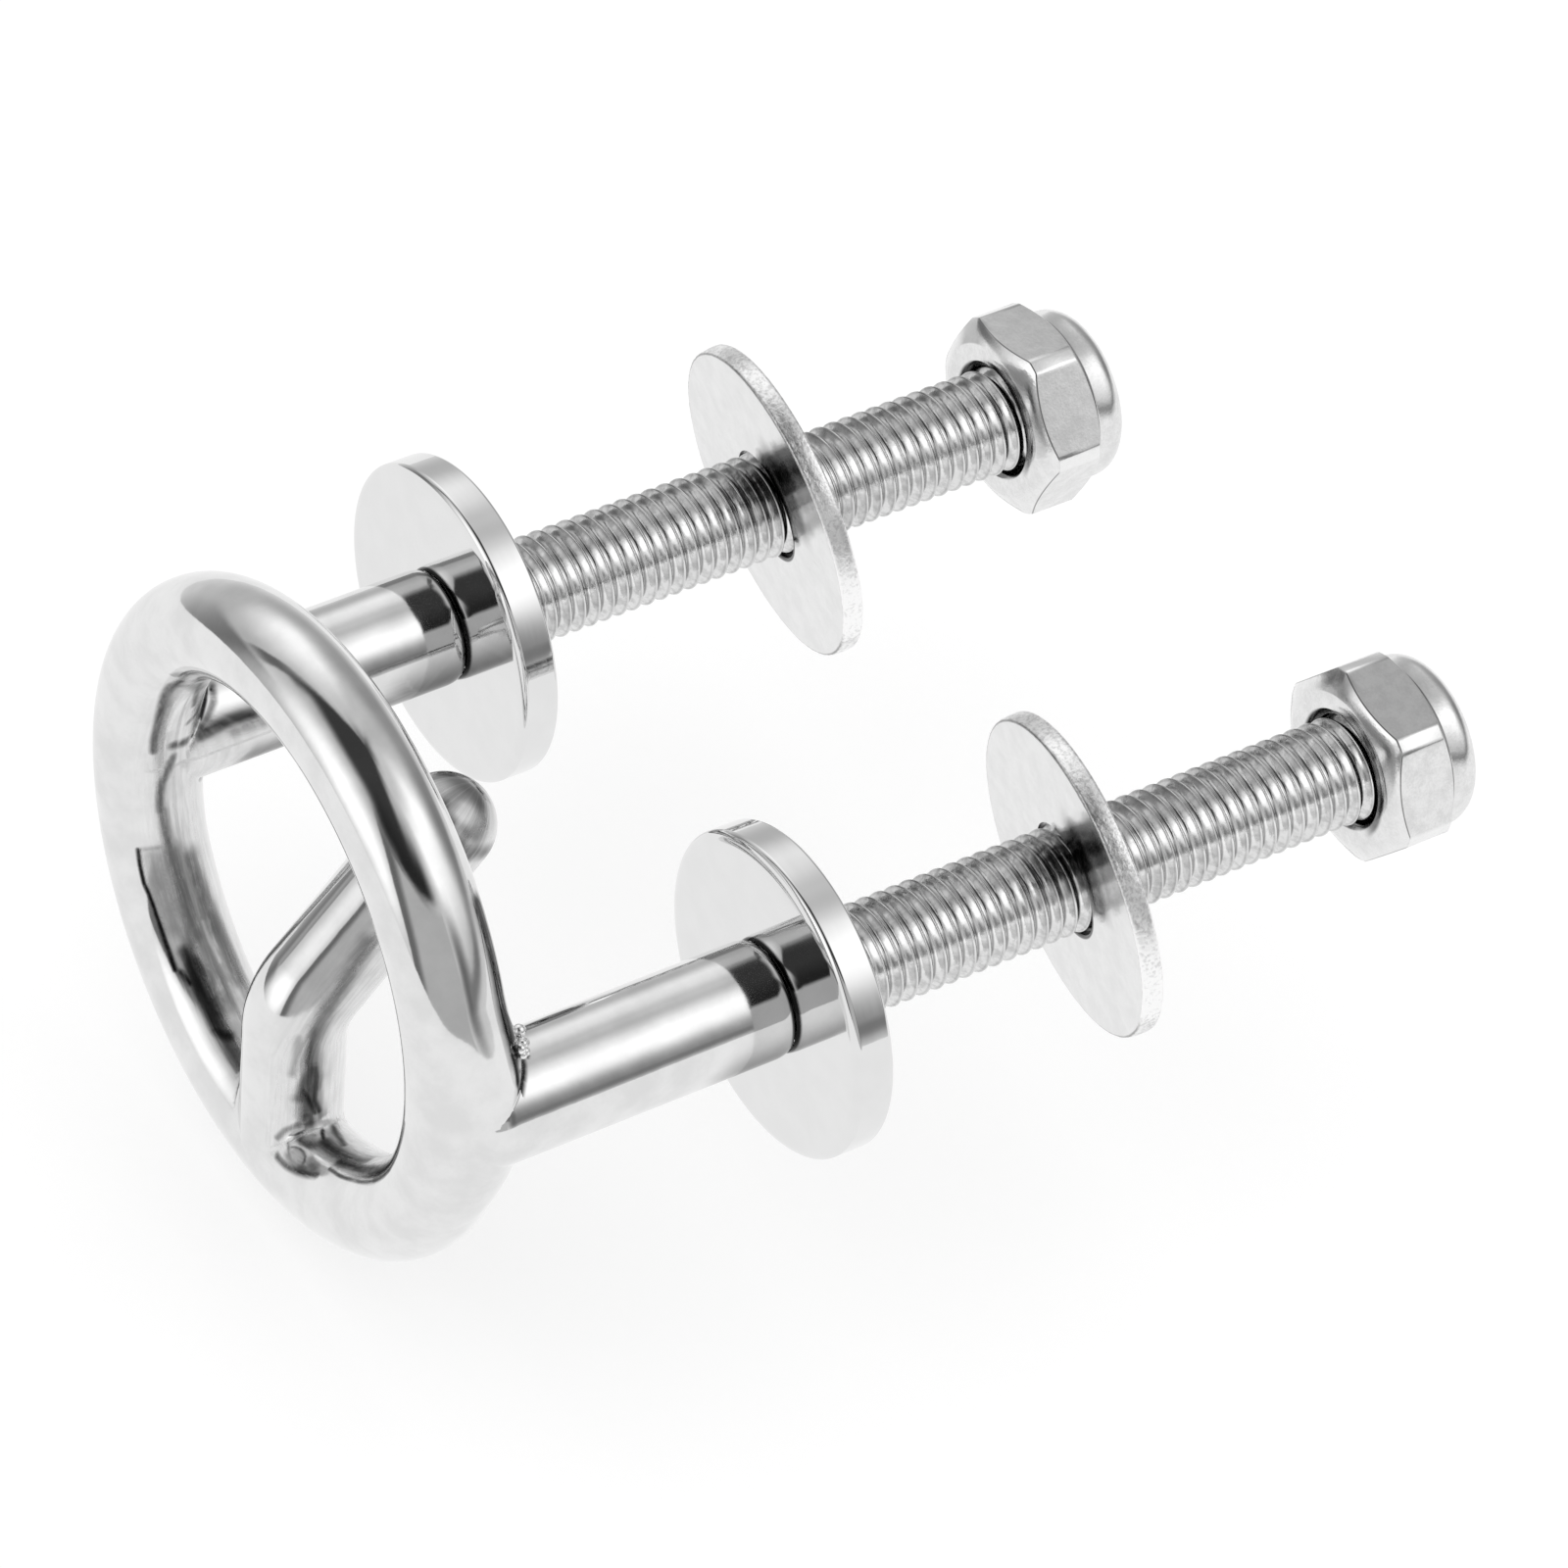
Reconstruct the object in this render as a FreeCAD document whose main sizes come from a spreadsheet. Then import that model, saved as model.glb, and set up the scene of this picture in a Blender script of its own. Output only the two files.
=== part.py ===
import FreeCAD, Part
import os
import Sketcher

# Water ski hook for a boat's transom, in stainless steel.
# Frame: X runs from the left stud to the right stud, Y runs along the studs from the
# ring to the nuts, Z is up as installed. The origin lies midway between the studs on
# the transom's outer face, which is where the cover washers seat.

doc = FreeCAD.newDocument("WaterSkiHook")

# Driving sizes: alias, value in millimetres or degrees, what it is
SIZES = [
    ("stud_spacing", 54.4, "distance between the two stud axes"),
    ("stud_diameter", 9.8, "outside diameter of the M10 thread"),
    ("stud_length", 62.0, "stud beyond the transom's outer face"),
    ("stud_point", 1.0, "chamfer at the free end of a stud"),
    ("thread_pitch", 1.5, "distance from one thread crest to the next"),
    ("thread_depth", 0.85, "depth of the thread groove"),
    ("thread_root", 0.26, "width of the groove's floor"),
    ("thread_angle", 60.0, "angle between the two flanks of the groove"),
    ("shank_diameter", 10.8, "plain shank between the ring and the cover washer"),
    ("shank_edge", 0.3, "rounding of the shank's shoulder"),
    ("shank_taper", 5.2, "ground stretch where the shank narrows towards the ring"),
    ("shank_nose", 8.8, "diameter of the shank's domed nose inside the ring's bar"),
    ("ring_radius", 26.5, "centreline radius of the ring"),
    ("ring_bar", 9.3, "bar diameter of the ring"),
    ("ring_reach", 33.7, "ring plane in front of the transom's outer face"),
    ("ring_rise", 0.4, "ring centre above the stud axes"),
    ("hook_bar", 9.2, "bar diameter of the hook"),
    ("hook_root", 13.6, "straight root of the hook, from the ring's centreline to the bend"),
    ("hook_bend", 6.7, "bend radius of the hook's centreline"),
    ("hook_turn", 44.0, "angle that the hook turns back towards the transom"),
    ("hook_nose", 17.9, "straight of the hook beyond the bend, up to the centre of its domed tip"),
    ("hook_weld", 1.0, "ground weld fillet at the hook's root"),
    ("cover_diameter", 30.0, "cover washer, outside"),
    ("cover_thickness", 3.6, "cover washer, thickness"),
    ("cover_edge", 0.4, "cover washer, rounding of the rim"),
    ("cover_clearance", 0.15, "play between a cover washer's bore and its stud, on the radius"),
    ("backing_diameter", 30.0, "backing washer, outside"),
    ("backing_thickness", 2.0, "backing washer, thickness"),
    ("backing_bore", 10.5, "backing washer, hole"),
    ("backing_edge", 0.35, "backing washer, rounding of the punched rim"),
    ("backing_rest", 0.02, "gap left where a backing washer's hole rests on its stud"),
    ("left_backing_place", 31.1, "left backing washer along its stud"),
    ("left_backing_tilt", 10.6, "left backing washer, tilt on its stud"),
    ("left_backing_side", 24.0, "its edge that tips towards the ring, from the top towards the right"),
    ("right_backing_place", 27.4, "right backing washer along its stud"),
    ("right_backing_tilt", 10.2, "right backing washer, tilt on its stud"),
    ("right_backing_side", 37.0, "its edge that tips towards the ring, from the top towards the right"),
    ("nut_across_flats", 17.0, "hex nut across its flats"),
    ("nut_across_corners", 18.9, "hex nut across its rounded corners"),
    ("nut_height", 9.9, "hex nut with its collar"),
    ("nut_hex_height", 6.5, "hex part of the nut"),
    ("nut_face", 14.8, "flat bearing face of the nut"),
    ("nut_chamfer", 30.0, "angle of the nut's corner chamfers"),
    ("nut_collar", 16.0, "rounded collar of the nut"),
    ("nut_collar_round", 1.9, "rounding of the collar"),
    ("nut_lip", 0.6, "crimped lip over the nylon ring"),
    ("nut_mouth", 11.6, "opening in the crimped lip"),
    ("nut_countersink", 11.4, "mouth of the thread at the bearing face"),
    ("thread_clearance", 0.1, "play between nut and stud thread, on the radius"),
    ("insert_diameter", 12.8, "nylon ring, outside"),
    ("insert_bore", 9.2, "nylon ring, hole"),
    ("insert_clearance", 0.05, "play between nylon ring and nut, on the radius and the ends"),
    ("left_nut_grip", 6.4, "stud taken up by the left nut, from its bearing face to the stud's end"),
    ("left_nut_turn", -6.0, "left nut, turn about its stud"),
    ("right_nut_grip", 5.3, "stud taken up by the right nut"),
    ("right_nut_turn", 11.4, "right nut, turn about its stud"),
]

sheet = doc.addObject("Spreadsheet::Sheet", "Sizes")
for row, (alias, value, meaning) in enumerate(SIZES, start=1):
    sheet.set("A%d" % row, meaning)
    sheet.set("B%d" % row, str(value))
    sheet.setAlias("B%d" % row, alias)
doc.recompute()


def size(alias):
    """Value of a driving size."""
    return float(getattr(sheet, alias))


def new_body(label):
    """Empty body whose label names its file."""
    body = doc.addObject("PartDesign::Body", label)
    body.Label = label
    return body


def origin_plane(body, role):
    """One of a body's own origin planes."""
    return [item for item in body.Origin.OriginFeatures if item.Role == role][0]


def new_sketch(body, name, role):
    """Sketch on one of the body's own origin planes."""
    sketch = body.newObject("Sketcher::SketchObject", name)
    sketch.AttachmentSupport = (origin_plane(body, role), [""])
    sketch.MapMode = "FlatFace"
    return sketch


def dimension(sketch, kind, where, name, formula, start):
    """Named dimension of a sketch, bound to the sheet; start is its value before the first solve."""
    index = sketch.addConstraint(Sketcher.Constraint(kind, *where, start))
    sketch.renameConstraint(index, name)
    sketch.setExpression("Constraints." + name, formula)


def place_point(sketch, edge, end, name, across, along):
    """Bind one point of a sketch by the formulas of its two coordinates; "0" puts it on an axis."""
    point = sketch.getPoint(edge, end)
    for kind, axis, formula, start in (
        ("DistanceX", -2, across, point.x),
        ("DistanceY", -1, along, point.y),
    ):
        if formula == "0":
            sketch.addConstraint(Sketcher.Constraint("PointOnObject", edge, end, axis))
        else:
            dimension(sketch, kind, (edge, end), name + kind[-1], formula, start)


def outline(sketch, points):
    """Closed outline of straight lines through points, each a pair of formulas.

    The lines start as a regular polygon, and the bound coordinates give them their shape.
    """
    count = len(points)
    corners = []
    for number in range(count):
        turn = FreeCAD.Rotation(FreeCAD.Vector(0, 0, 1), 360.0 * number / count)
        corners.append(FreeCAD.Vector(20, 20, 0) + turn.multVec(FreeCAD.Vector(10, 0, 0)))
    first = sketch.GeometryCount
    for number in range(count):
        sketch.addGeometry(Part.LineSegment(corners[number], corners[(number + 1) % count]), False)
    for number in range(count):
        after = first + (number + 1) % count
        sketch.addConstraint(Sketcher.Constraint("Coincident", first + number, 2, after, 1))
    for number, (across, along) in enumerate(points):
        place_point(sketch, first + number, 1, "p%d" % (first + number), across, along)


def turn_about(body, name, sketch, axis, removing=False):
    """Turned feature: the sketch's outline taken all the way round an axis."""
    kind = "PartDesign::Groove" if removing else "PartDesign::Revolution"
    feature = body.newObject(kind, name)
    feature.Profile = sketch
    feature.ReferenceAxis = (sketch, [axis])
    feature.Angle = 360
    sketch.Visibility = False
    return feature


def ball(body, name, radius, centre):
    """Sphere added to a body, with its radius and centre bound by formulas."""
    sphere = body.newObject("PartDesign::AdditiveSphere", name)
    sphere.AttachmentSupport = (origin_plane(body, "XY_Plane"), [""])
    sphere.MapMode = "FlatFace"
    sphere.setExpression("Radius", radius)
    for letter, formula in zip("xyz", centre):
        sphere.setExpression(".AttachmentOffset.Base." + letter, formula)
    return sphere


def edges_where(feature, wanted):
    """Names of a feature's edges that pass a test."""
    named = enumerate(feature.Shape.Edges, start=1)
    return ["Edge%d" % number for number, edge in named if wanted(edge)]


def round_edges(body, name, base, edges, radius):
    """Rounded edges on the body's last feature."""
    fillet = body.newObject("PartDesign::Fillet", name)
    fillet.Base = (base, edges)
    fillet.setExpression("Radius", radius)
    return fillet


def is_hook_weld(edge):
    """True on the curve where the hook bar leaves the ring."""
    if edge.Degenerated or isinstance(edge.Curve, (Part.Circle, Part.Line)):
        return False
    return abs(edge.BoundBox.Center.x) < size("hook_bar")


def circle_at(edge, radius, along=None):
    """True where an edge is a circle of this radius, and at this place along Y where one is given."""
    if edge.Degenerated or not isinstance(edge.Curve, Part.Circle):
        return False
    if abs(edge.Curve.Radius - radius) > 1e-6:
        return False
    return along is None or abs(edge.Curve.Center.y - along) < 1e-6


# Tow hook: ring, hook bar, shanks and studs, joined into one body
RING_PLANE = "-Sizes.ring_reach"
STUD_AXIS = "Sizes.stud_spacing / 2"
TURN = "Sizes.hook_turn * 1 deg"


def add_ring(body):
    """Ring, a round bar turned about the line through its centre."""
    sketch = new_sketch(body, "RingSection", "YZ_Plane")
    bar = sketch.addGeometry(Part.Circle(FreeCAD.Vector(-30, 30, 0), FreeCAD.Vector(0, 0, 1), 5), False)
    place_point(sketch, bar, 3, "bar", "-Sizes.ring_reach", "Sizes.ring_rise + Sizes.ring_radius")
    dimension(sketch, "Radius", (bar,), "bar_radius", "Sizes.ring_bar / 2", 5)
    axis = sketch.addGeometry(Part.LineSegment(FreeCAD.Vector(-9, 1, 0), FreeCAD.Vector(9, 1, 0)), True)
    sketch.addConstraint(Sketcher.Constraint("Horizontal", axis))
    place_point(sketch, axis, 1, "axis", "-Sizes.ring_reach", "Sizes.ring_rise")
    sketch.addConstraint(Sketcher.Constraint("PointOnObject", axis, 2, -2))
    return turn_about(body, "Ring", sketch, "Axis0")


def add_stud(body, side, inward):
    """Shank and stud of one side, one turned outline drawn on the side of the other stud.

    The shank's front is ground down to a nose inside the ring's bar, so the two flow together.
    """
    sketch = new_sketch(body, "StudOutline", "XY_Plane")
    centre = side + STUD_AXIS
    shank_side = centre + inward + "Sizes.shank_diameter / 2"
    stud_side = centre + inward + "Sizes.stud_diameter / 2"
    point_side = centre + inward + "(Sizes.stud_diameter / 2 - Sizes.stud_point)"
    shoulder = "-Sizes.cover_thickness"
    outline(sketch, [
        (centre, RING_PLANE),
        (centre + inward + "Sizes.shank_nose / 2", RING_PLANE),
        (shank_side, RING_PLANE + " + Sizes.shank_taper"),
        (shank_side, shoulder),
        (stud_side, shoulder),
        (stud_side, "Sizes.stud_length - Sizes.stud_point"),
        (point_side, "Sizes.stud_length"),
        (centre, "Sizes.stud_length"),
    ])
    axis = sketch.addGeometry(Part.LineSegment(FreeCAD.Vector(20, 0, 0), FreeCAD.Vector(20, 9, 0)), True)
    sketch.addConstraint(Sketcher.Constraint("Vertical", axis))
    place_point(sketch, axis, 1, "axis", centre, "0")
    dimension(sketch, "DistanceY", (axis, 2), "axis_end", "Sizes.stud_length", 9)
    turn_about(body, "Stud", sketch, "Axis0")
    ball(body, "ShankNose", "Sizes.shank_nose / 2", (centre, RING_PLANE, "0"))


def cut_thread(body, side, inward):
    """Thread of one stud as rings: one groove, repeated at the pitch up to the stud's chamfer.

    The rings keep the thread's depth, flanks and pitch with few faces; scene.py winds the helix.
    """
    sketch = new_sketch(body, "GrooveSection", "XY_Plane")
    centre = side + STUD_AXIS
    crest = centre + inward + "(Sizes.stud_diameter / 2 + Sizes.thread_clearance)"
    root = centre + inward + "(Sizes.stud_diameter / 2 - Sizes.thread_depth)"
    middle = "Sizes.thread_pitch / 2"
    floor = "Sizes.thread_root / 2"
    mouth = floor + " + (Sizes.thread_depth + Sizes.thread_clearance) * tan(Sizes.thread_angle / 2 * 1 deg)"
    outline(sketch, [
        (root, middle + " - " + floor),
        (crest, middle + " - (" + mouth + ")"),
        (crest, middle + " + " + mouth),
        (root, middle + " + " + floor),
    ])
    axis = sketch.addGeometry(Part.LineSegment(FreeCAD.Vector(20, 0, 0), FreeCAD.Vector(20, 9, 0)), True)
    sketch.addConstraint(Sketcher.Constraint("Vertical", axis))
    place_point(sketch, axis, 1, "axis", centre, "0")
    dimension(sketch, "DistanceY", (axis, 2), "axis_end", "Sizes.stud_length", 9)
    groove = turn_about(body, "Groove", sketch, "Axis0", removing=True)
    count = "floor((Sizes.stud_length - Sizes.stud_point) / Sizes.thread_pitch)"
    thread = body.newObject("PartDesign::LinearPattern", "Thread")
    thread.Originals = [groove]
    thread.Direction = (sketch, ["Axis0"])
    thread.setExpression("Occurrences", count)
    thread.setExpression("Length", "Sizes.thread_pitch * (%s - 1)" % count)
    body.Tip = thread


def add_hook_bar(body):
    """Hook bar swept up from the ring and back towards the transom, with a domed tip."""
    path = new_sketch(body, "HookPath", "YZ_Plane")
    root = FreeCAD.Vector(-33, -26, 0)
    bend = FreeCAD.Vector(-33, -13, 0)
    bent = FreeCAD.Vector(-31, -8, 0)
    tip = FreeCAD.Vector(-19, 5, 0)
    upright = path.addGeometry(Part.LineSegment(root, bend), False)
    arc = path.addGeometry(Part.Arc(bend, FreeCAD.Vector(-32.5, -10.5, 0), bent), False)
    nose = path.addGeometry(Part.LineSegment(bent, tip), False)
    arc_ends = (2, 1) if path.getPoint(arc, 2).distanceToPoint(bend) < 1e-6 else (1, 2)
    path.addConstraint(Sketcher.Constraint("Tangent", upright, 2, arc, arc_ends[0]))
    path.addConstraint(Sketcher.Constraint("Tangent", arc, arc_ends[1], nose, 1))
    path.addConstraint(Sketcher.Constraint("Vertical", upright))
    place_point(path, upright, 1, "root", "-Sizes.ring_reach", "Sizes.ring_rise - Sizes.ring_radius")
    dimension(path, "DistanceY", (upright, 1, upright, 2), "root_length", "Sizes.hook_root", 13)
    dimension(path, "Radius", (arc,), "bend_radius", "Sizes.hook_bend", 7)
    dimension(path, "Distance", (nose,), "nose_length", "Sizes.hook_nose", 18)
    dimension(path, "DistanceX", (nose, 1, nose, 2), "nose_reach", "Sizes.hook_nose * sin(%s)" % TURN, 12)
    section = new_sketch(body, "HookSection", "XY_Plane")
    section.setExpression(".AttachmentOffset.Base.z", "Sizes.ring_rise - Sizes.ring_radius")
    bar = section.addGeometry(Part.Circle(FreeCAD.Vector(0, -30, 0), FreeCAD.Vector(0, 0, 1), 5), False)
    place_point(section, bar, 3, "bar", "0", "-Sizes.ring_reach")
    dimension(section, "Radius", (bar,), "bar_radius", "Sizes.hook_bar / 2", 5)
    pipe = body.newObject("PartDesign::AdditivePipe", "HookBar")
    pipe.Profile = section
    pipe.Spine = (path, ["Edge1", "Edge2", "Edge3"])
    path.Visibility = False
    section.Visibility = False
    bend_top = "Sizes.ring_rise - Sizes.ring_radius + Sizes.hook_root"
    tip_reach = "-Sizes.ring_reach + Sizes.hook_bend * (1 - cos(%s)) + Sizes.hook_nose * sin(%s)" % (TURN, TURN)
    tip_height = bend_top + " + Sizes.hook_bend * sin(%s) + Sizes.hook_nose * cos(%s)" % (TURN, TURN)
    ball(body, "HookTip", "Sizes.hook_bar / 2", ("0", tip_reach, tip_height))


def make_tow_hook():
    """The welded and ground body that carries the tow load."""
    body = new_body("tow_hook")
    add_ring(body)
    for side, inward in (("-", " + "), ("", " - ")):
        add_stud(body, side, inward)
        cut_thread(body, side, inward)
    add_hook_bar(body)
    doc.recompute()
    weld = edges_where(body.Tip, is_hook_weld)
    round_edges(body, "HookWeld", body.Tip, weld, "Sizes.hook_weld")
    doc.recompute()
    shoulder = -size("cover_thickness")
    edges = edges_where(body.Tip, lambda edge: circle_at(edge, size("shank_diameter") / 2, shoulder))
    round_edges(body, "ShankEdges", body.Tip, edges, "Sizes.shank_edge")
    doc.recompute()
    return body


# Washers
def make_washer(label, outer, bore_radius, back, front, edge_radius):
    """Turned washer about the Y axis, with its rim rounded on both sides."""
    body = new_body(label)
    sketch = new_sketch(body, "Section", "XY_Plane")
    outline(sketch, [(bore_radius, front), (outer, front), (outer, back), (bore_radius, back)])
    ring = turn_about(body, "Disc", sketch, "V_Axis")
    doc.recompute()
    rim = ring.Shape.BoundBox.XMax
    round_edges(body, "Rim", ring, edges_where(ring, lambda edge: circle_at(edge, rim)), edge_radius)
    return body


def make_cover_washer(label, side):
    """Thick polished washer between the shank's shoulder and the transom."""
    body = make_washer(
        label,
        "Sizes.cover_diameter / 2",
        "Sizes.stud_diameter / 2 + Sizes.cover_clearance",
        "0",
        "-Sizes.cover_thickness",
        "Sizes.cover_edge",
    )
    body.setExpression(".Placement.Base.x", side + STUD_AXIS)
    return body


def make_backing_washer(label, side, name):
    """Thin fender washer that hangs tilted on its stud, the top of its hole on the thread."""
    half = "Sizes.backing_thickness / 2"
    body = make_washer(
        label,
        "Sizes.backing_diameter / 2",
        "Sizes.backing_bore / 2",
        half,
        "-" + half,
        "Sizes.backing_edge",
    )
    tilt = "Sizes.%s_backing_tilt * 1 deg" % name
    hole = "Sizes.backing_bore * cos(%s) - Sizes.backing_thickness * sin(%s)" % (tilt, tilt)
    upwards = FreeCAD.Rotation(FreeCAD.Vector(0, 1, 0), size(name + "_backing_side"))
    body.Placement.Rotation = FreeCAD.Rotation(
        upwards.multVec(FreeCAD.Vector(1, 0, 0)),
        size(name + "_backing_tilt"),
    )
    body.setExpression(".Placement.Rotation.Angle", tilt)
    body.setExpression(".Placement.Base.x", side + STUD_AXIS)
    body.setExpression(".Placement.Base.y", "Sizes.%s_backing_place + %s" % (name, half))
    drop = "-((%s - Sizes.stud_diameter) / 2 - Sizes.backing_rest)" % hole
    body.setExpression(".Placement.Base.z", drop)
    return body


# Nuts and their nylon rings
NUT_TOP = "Sizes.nut_height"
CORNER = "Sizes.nut_across_flats / sqrt(3)"
SLOPE = "tan(Sizes.nut_chamfer * 1 deg)"


def add_hexagon(body):
    """Hexagonal bar of the nut, one corner along X."""
    sketch = new_sketch(body, "Hexagon", "XZ_Plane")
    half = "Sizes.nut_across_flats / 2"
    outline(sketch, [
        (CORNER, "0"),
        (CORNER + " / 2", half),
        ("-" + CORNER + " / 2", half),
        ("-" + CORNER, "0"),
        ("-" + CORNER + " / 2", "-" + half),
        (CORNER + " / 2", "-" + half),
    ])
    pad = body.newObject("PartDesign::Pad", "HexBar")
    pad.Profile = sketch
    pad.setExpression("Length", "Sizes.nut_hex_height")
    pad.Reversed = True
    sketch.Visibility = False
    return pad


def make_lock_nut(label, side, name):
    """Hex lock nut with chamfered corners, a rounded collar and a seat for the nylon ring."""
    body = new_body(label)
    add_hexagon(body)
    chamfers = new_sketch(body, "Chamfers", "XY_Plane")
    face = "Sizes.nut_face / 2"
    collar = "Sizes.nut_collar / 2"
    hexagon_top = "Sizes.nut_hex_height"
    rounded = "Sizes.nut_across_corners / 2"
    beyond = CORNER + " + 1"
    depth = "(%s - %s) * %s"
    outline(chamfers, [
        (face, "0"),
        (beyond, "0"),
        (beyond, hexagon_top),
        (collar, hexagon_top),
        (rounded, hexagon_top + " - " + depth % (rounded, collar, SLOPE)),
        (rounded, depth % (rounded, face, SLOPE)),
    ])
    turn_about(body, "CornerChamfers", chamfers, "V_Axis", removing=True)
    profile = new_sketch(body, "CollarSection", "XY_Plane")
    outline(profile, [("0", hexagon_top + " / 2"), (collar, hexagon_top + " / 2"), (collar, NUT_TOP), ("0", NUT_TOP)])
    turned = turn_about(body, "Collar", profile, "V_Axis")
    doc.recompute()
    top = edges_where(turned, lambda edge: circle_at(edge, size("nut_collar") / 2, size("nut_height")))
    round_edges(body, "CollarTop", turned, top, "Sizes.nut_collar_round")
    bore = "Sizes.stud_diameter / 2 + Sizes.thread_clearance"
    mouth = "Sizes.nut_countersink / 2"
    seat = "Sizes.insert_diameter / 2 + Sizes.insert_clearance"
    under_lip = NUT_TOP + " - Sizes.nut_lip"
    hole = new_sketch(body, "HoleSection", "XY_Plane")
    outline(hole, [
        ("0", "0"),
        (mouth, "0"),
        (bore, mouth + " - (" + bore + ")"),
        (bore, hexagon_top),
        (seat, hexagon_top),
        (seat, under_lip),
        ("Sizes.nut_mouth / 2", under_lip),
        ("Sizes.nut_mouth / 2", NUT_TOP),
        ("0", NUT_TOP),
    ])
    turn_about(body, "Hole", hole, "V_Axis", removing=True)
    place_nut(body, side, name)
    return body


def place_nut(body, side, name):
    """Put a nut, or the ring inside it, on its stud."""
    body.Placement.Rotation = FreeCAD.Rotation(FreeCAD.Vector(0, 1, 0), size(name + "_nut_turn"))
    body.setExpression(".Placement.Rotation.Angle", "Sizes.%s_nut_turn * 1 deg" % name)
    body.setExpression(".Placement.Base.x", side + STUD_AXIS)
    body.setExpression(".Placement.Base.y", "Sizes.stud_length - Sizes.%s_nut_grip" % name)


def make_nylon_insert(label, side, name):
    """Nylon ring held in the nut's collar by the crimped lip."""
    body = new_body(label)
    sketch = new_sketch(body, "Section", "XY_Plane")
    start = "Sizes.nut_hex_height + Sizes.insert_clearance"
    end = NUT_TOP + " - Sizes.nut_lip - Sizes.insert_clearance"
    inner = "Sizes.insert_bore / 2"
    outer = "Sizes.insert_diameter / 2"
    outline(sketch, [(inner, start), (outer, start), (outer, end), (inner, end)])
    turn_about(body, "Ring", sketch, "V_Axis")
    place_nut(body, side, name)
    return body


bodies = [make_tow_hook()]
for name, side in (("left", "-"), ("right", "")):
    bodies.append(make_cover_washer("cover_washer_" + name, side))
    bodies.append(make_backing_washer("backing_washer_" + name, side, name))
    bodies.append(make_lock_nut("lock_nut_" + name, side, name))
    bodies.append(make_nylon_insert("nylon_insert_" + name, side, name))
doc.recompute()

for item in doc.Objects:
    if "Invalid" in item.State or "Error" in item.State:
        raise RuntimeError("feature failed: " + item.Label)

os.makedirs("parts", exist_ok=True)
for body in bodies:
    shape = body.Shape
    if shape.isNull() or not shape.isValid() or len(shape.Solids) != 1:
        raise RuntimeError("bad solid: " + body.Label)
    shape.exportStep("parts/%s.step" % body.Label)
    print(body.Label, "volume", round(shape.Volume, 1), "mm3", "box", shape.BoundBox)
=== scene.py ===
# %% [markdown]
# # A water ski hook in polished stainless steel
#
# The real thing is a ring of round bar with a bent hook bar inside it. Two shanks
# leave the ring and end in threaded studs, which go through a boat's transom and
# take washers and lock nuts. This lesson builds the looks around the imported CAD
# model: every piece is real mesh, in metres, in the same frame as the CAD.

# %% Load the frame
import math
import bpy
import bmesh
import numpy as np
from mathutils import Matrix, Vector


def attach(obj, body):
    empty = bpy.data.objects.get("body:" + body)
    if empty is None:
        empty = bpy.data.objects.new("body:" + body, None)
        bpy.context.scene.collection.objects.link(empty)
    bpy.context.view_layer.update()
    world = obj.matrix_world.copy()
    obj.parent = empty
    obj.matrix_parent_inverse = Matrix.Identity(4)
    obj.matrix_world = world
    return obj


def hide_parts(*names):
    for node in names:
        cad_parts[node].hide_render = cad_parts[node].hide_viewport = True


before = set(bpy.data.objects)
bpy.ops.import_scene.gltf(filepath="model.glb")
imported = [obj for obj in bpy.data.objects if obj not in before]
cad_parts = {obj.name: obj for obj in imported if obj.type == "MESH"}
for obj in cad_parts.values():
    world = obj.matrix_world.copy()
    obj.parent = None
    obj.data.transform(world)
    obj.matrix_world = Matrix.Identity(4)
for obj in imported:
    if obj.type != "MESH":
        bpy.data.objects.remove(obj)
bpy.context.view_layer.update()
print("nodes:", sorted(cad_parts))

MM = 0.001

# %% [markdown]
# ## The view
#
# The picture was taken from above and in front of the right stud with a long lens,
# so the studs run almost parallel. A camera is a place, a point that it looks at and
# a lens. It is set first, because every later choice is judged through it. The roll
# is small but real: the picture is not quite level.

# %% Camera
CAMERA_PLACE = Vector((524.12, -361.46, 583.41)) * MM
CAMERA_AIM = Vector((6.595, 11.467, 1.483)) * MM
CAMERA_ROLL = math.radians(4.897)
LENS = 226.88
SENSOR_WIDTH = 36
CLIP_NEAR = 0.05
CLIP_FAR = 20

camera = bpy.data.objects.new("view", bpy.data.cameras.new("view"))
camera.data.lens = LENS
camera.data.sensor_width = SENSOR_WIDTH
camera.data.clip_start = CLIP_NEAR
camera.data.clip_end = CLIP_FAR
gaze = (CAMERA_AIM - CAMERA_PLACE).to_track_quat("-Z", "Y")
roll = Matrix.Rotation(CAMERA_ROLL, 4, "Z")
camera.matrix_world = Matrix.Translation(CAMERA_PLACE) @ gaze.to_matrix().to_4x4() @ roll
bpy.context.scene.collection.objects.link(camera)
bpy.context.scene.camera = camera
print("camera is", round((CAMERA_AIM - CAMERA_PLACE).length, 3), "m away")

# %% [markdown]
# ## Helpers that every piece uses
#
# A turned piece is a profile spun about its axis: points (radius, along), joined by
# quads. Doing it with plain vertex maths keeps the rings of vertices exactly where
# they are wanted, and the same few lines serve washers, nuts and nylon rings.

# %% Making pieces
def new_mesh(name, vertices, faces):
    """Mesh from vertices in millimetres."""
    mesh = bpy.data.meshes.new(name)
    mesh.from_pydata([tuple(v) for v in np.asarray(vertices) * MM], [], faces)
    mesh.validate()
    return mesh


def finished_mesh(name, work):
    """Mesh from finished bmesh work."""
    mesh = bpy.data.meshes.new(name)
    work.to_mesh(mesh)
    work.free()
    return mesh


def in_scene(mesh):
    """Object that shows a mesh, under the mesh's name."""
    piece = bpy.data.objects.new(mesh.name, mesh)
    bpy.context.scene.collection.objects.link(piece)
    return piece


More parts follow.
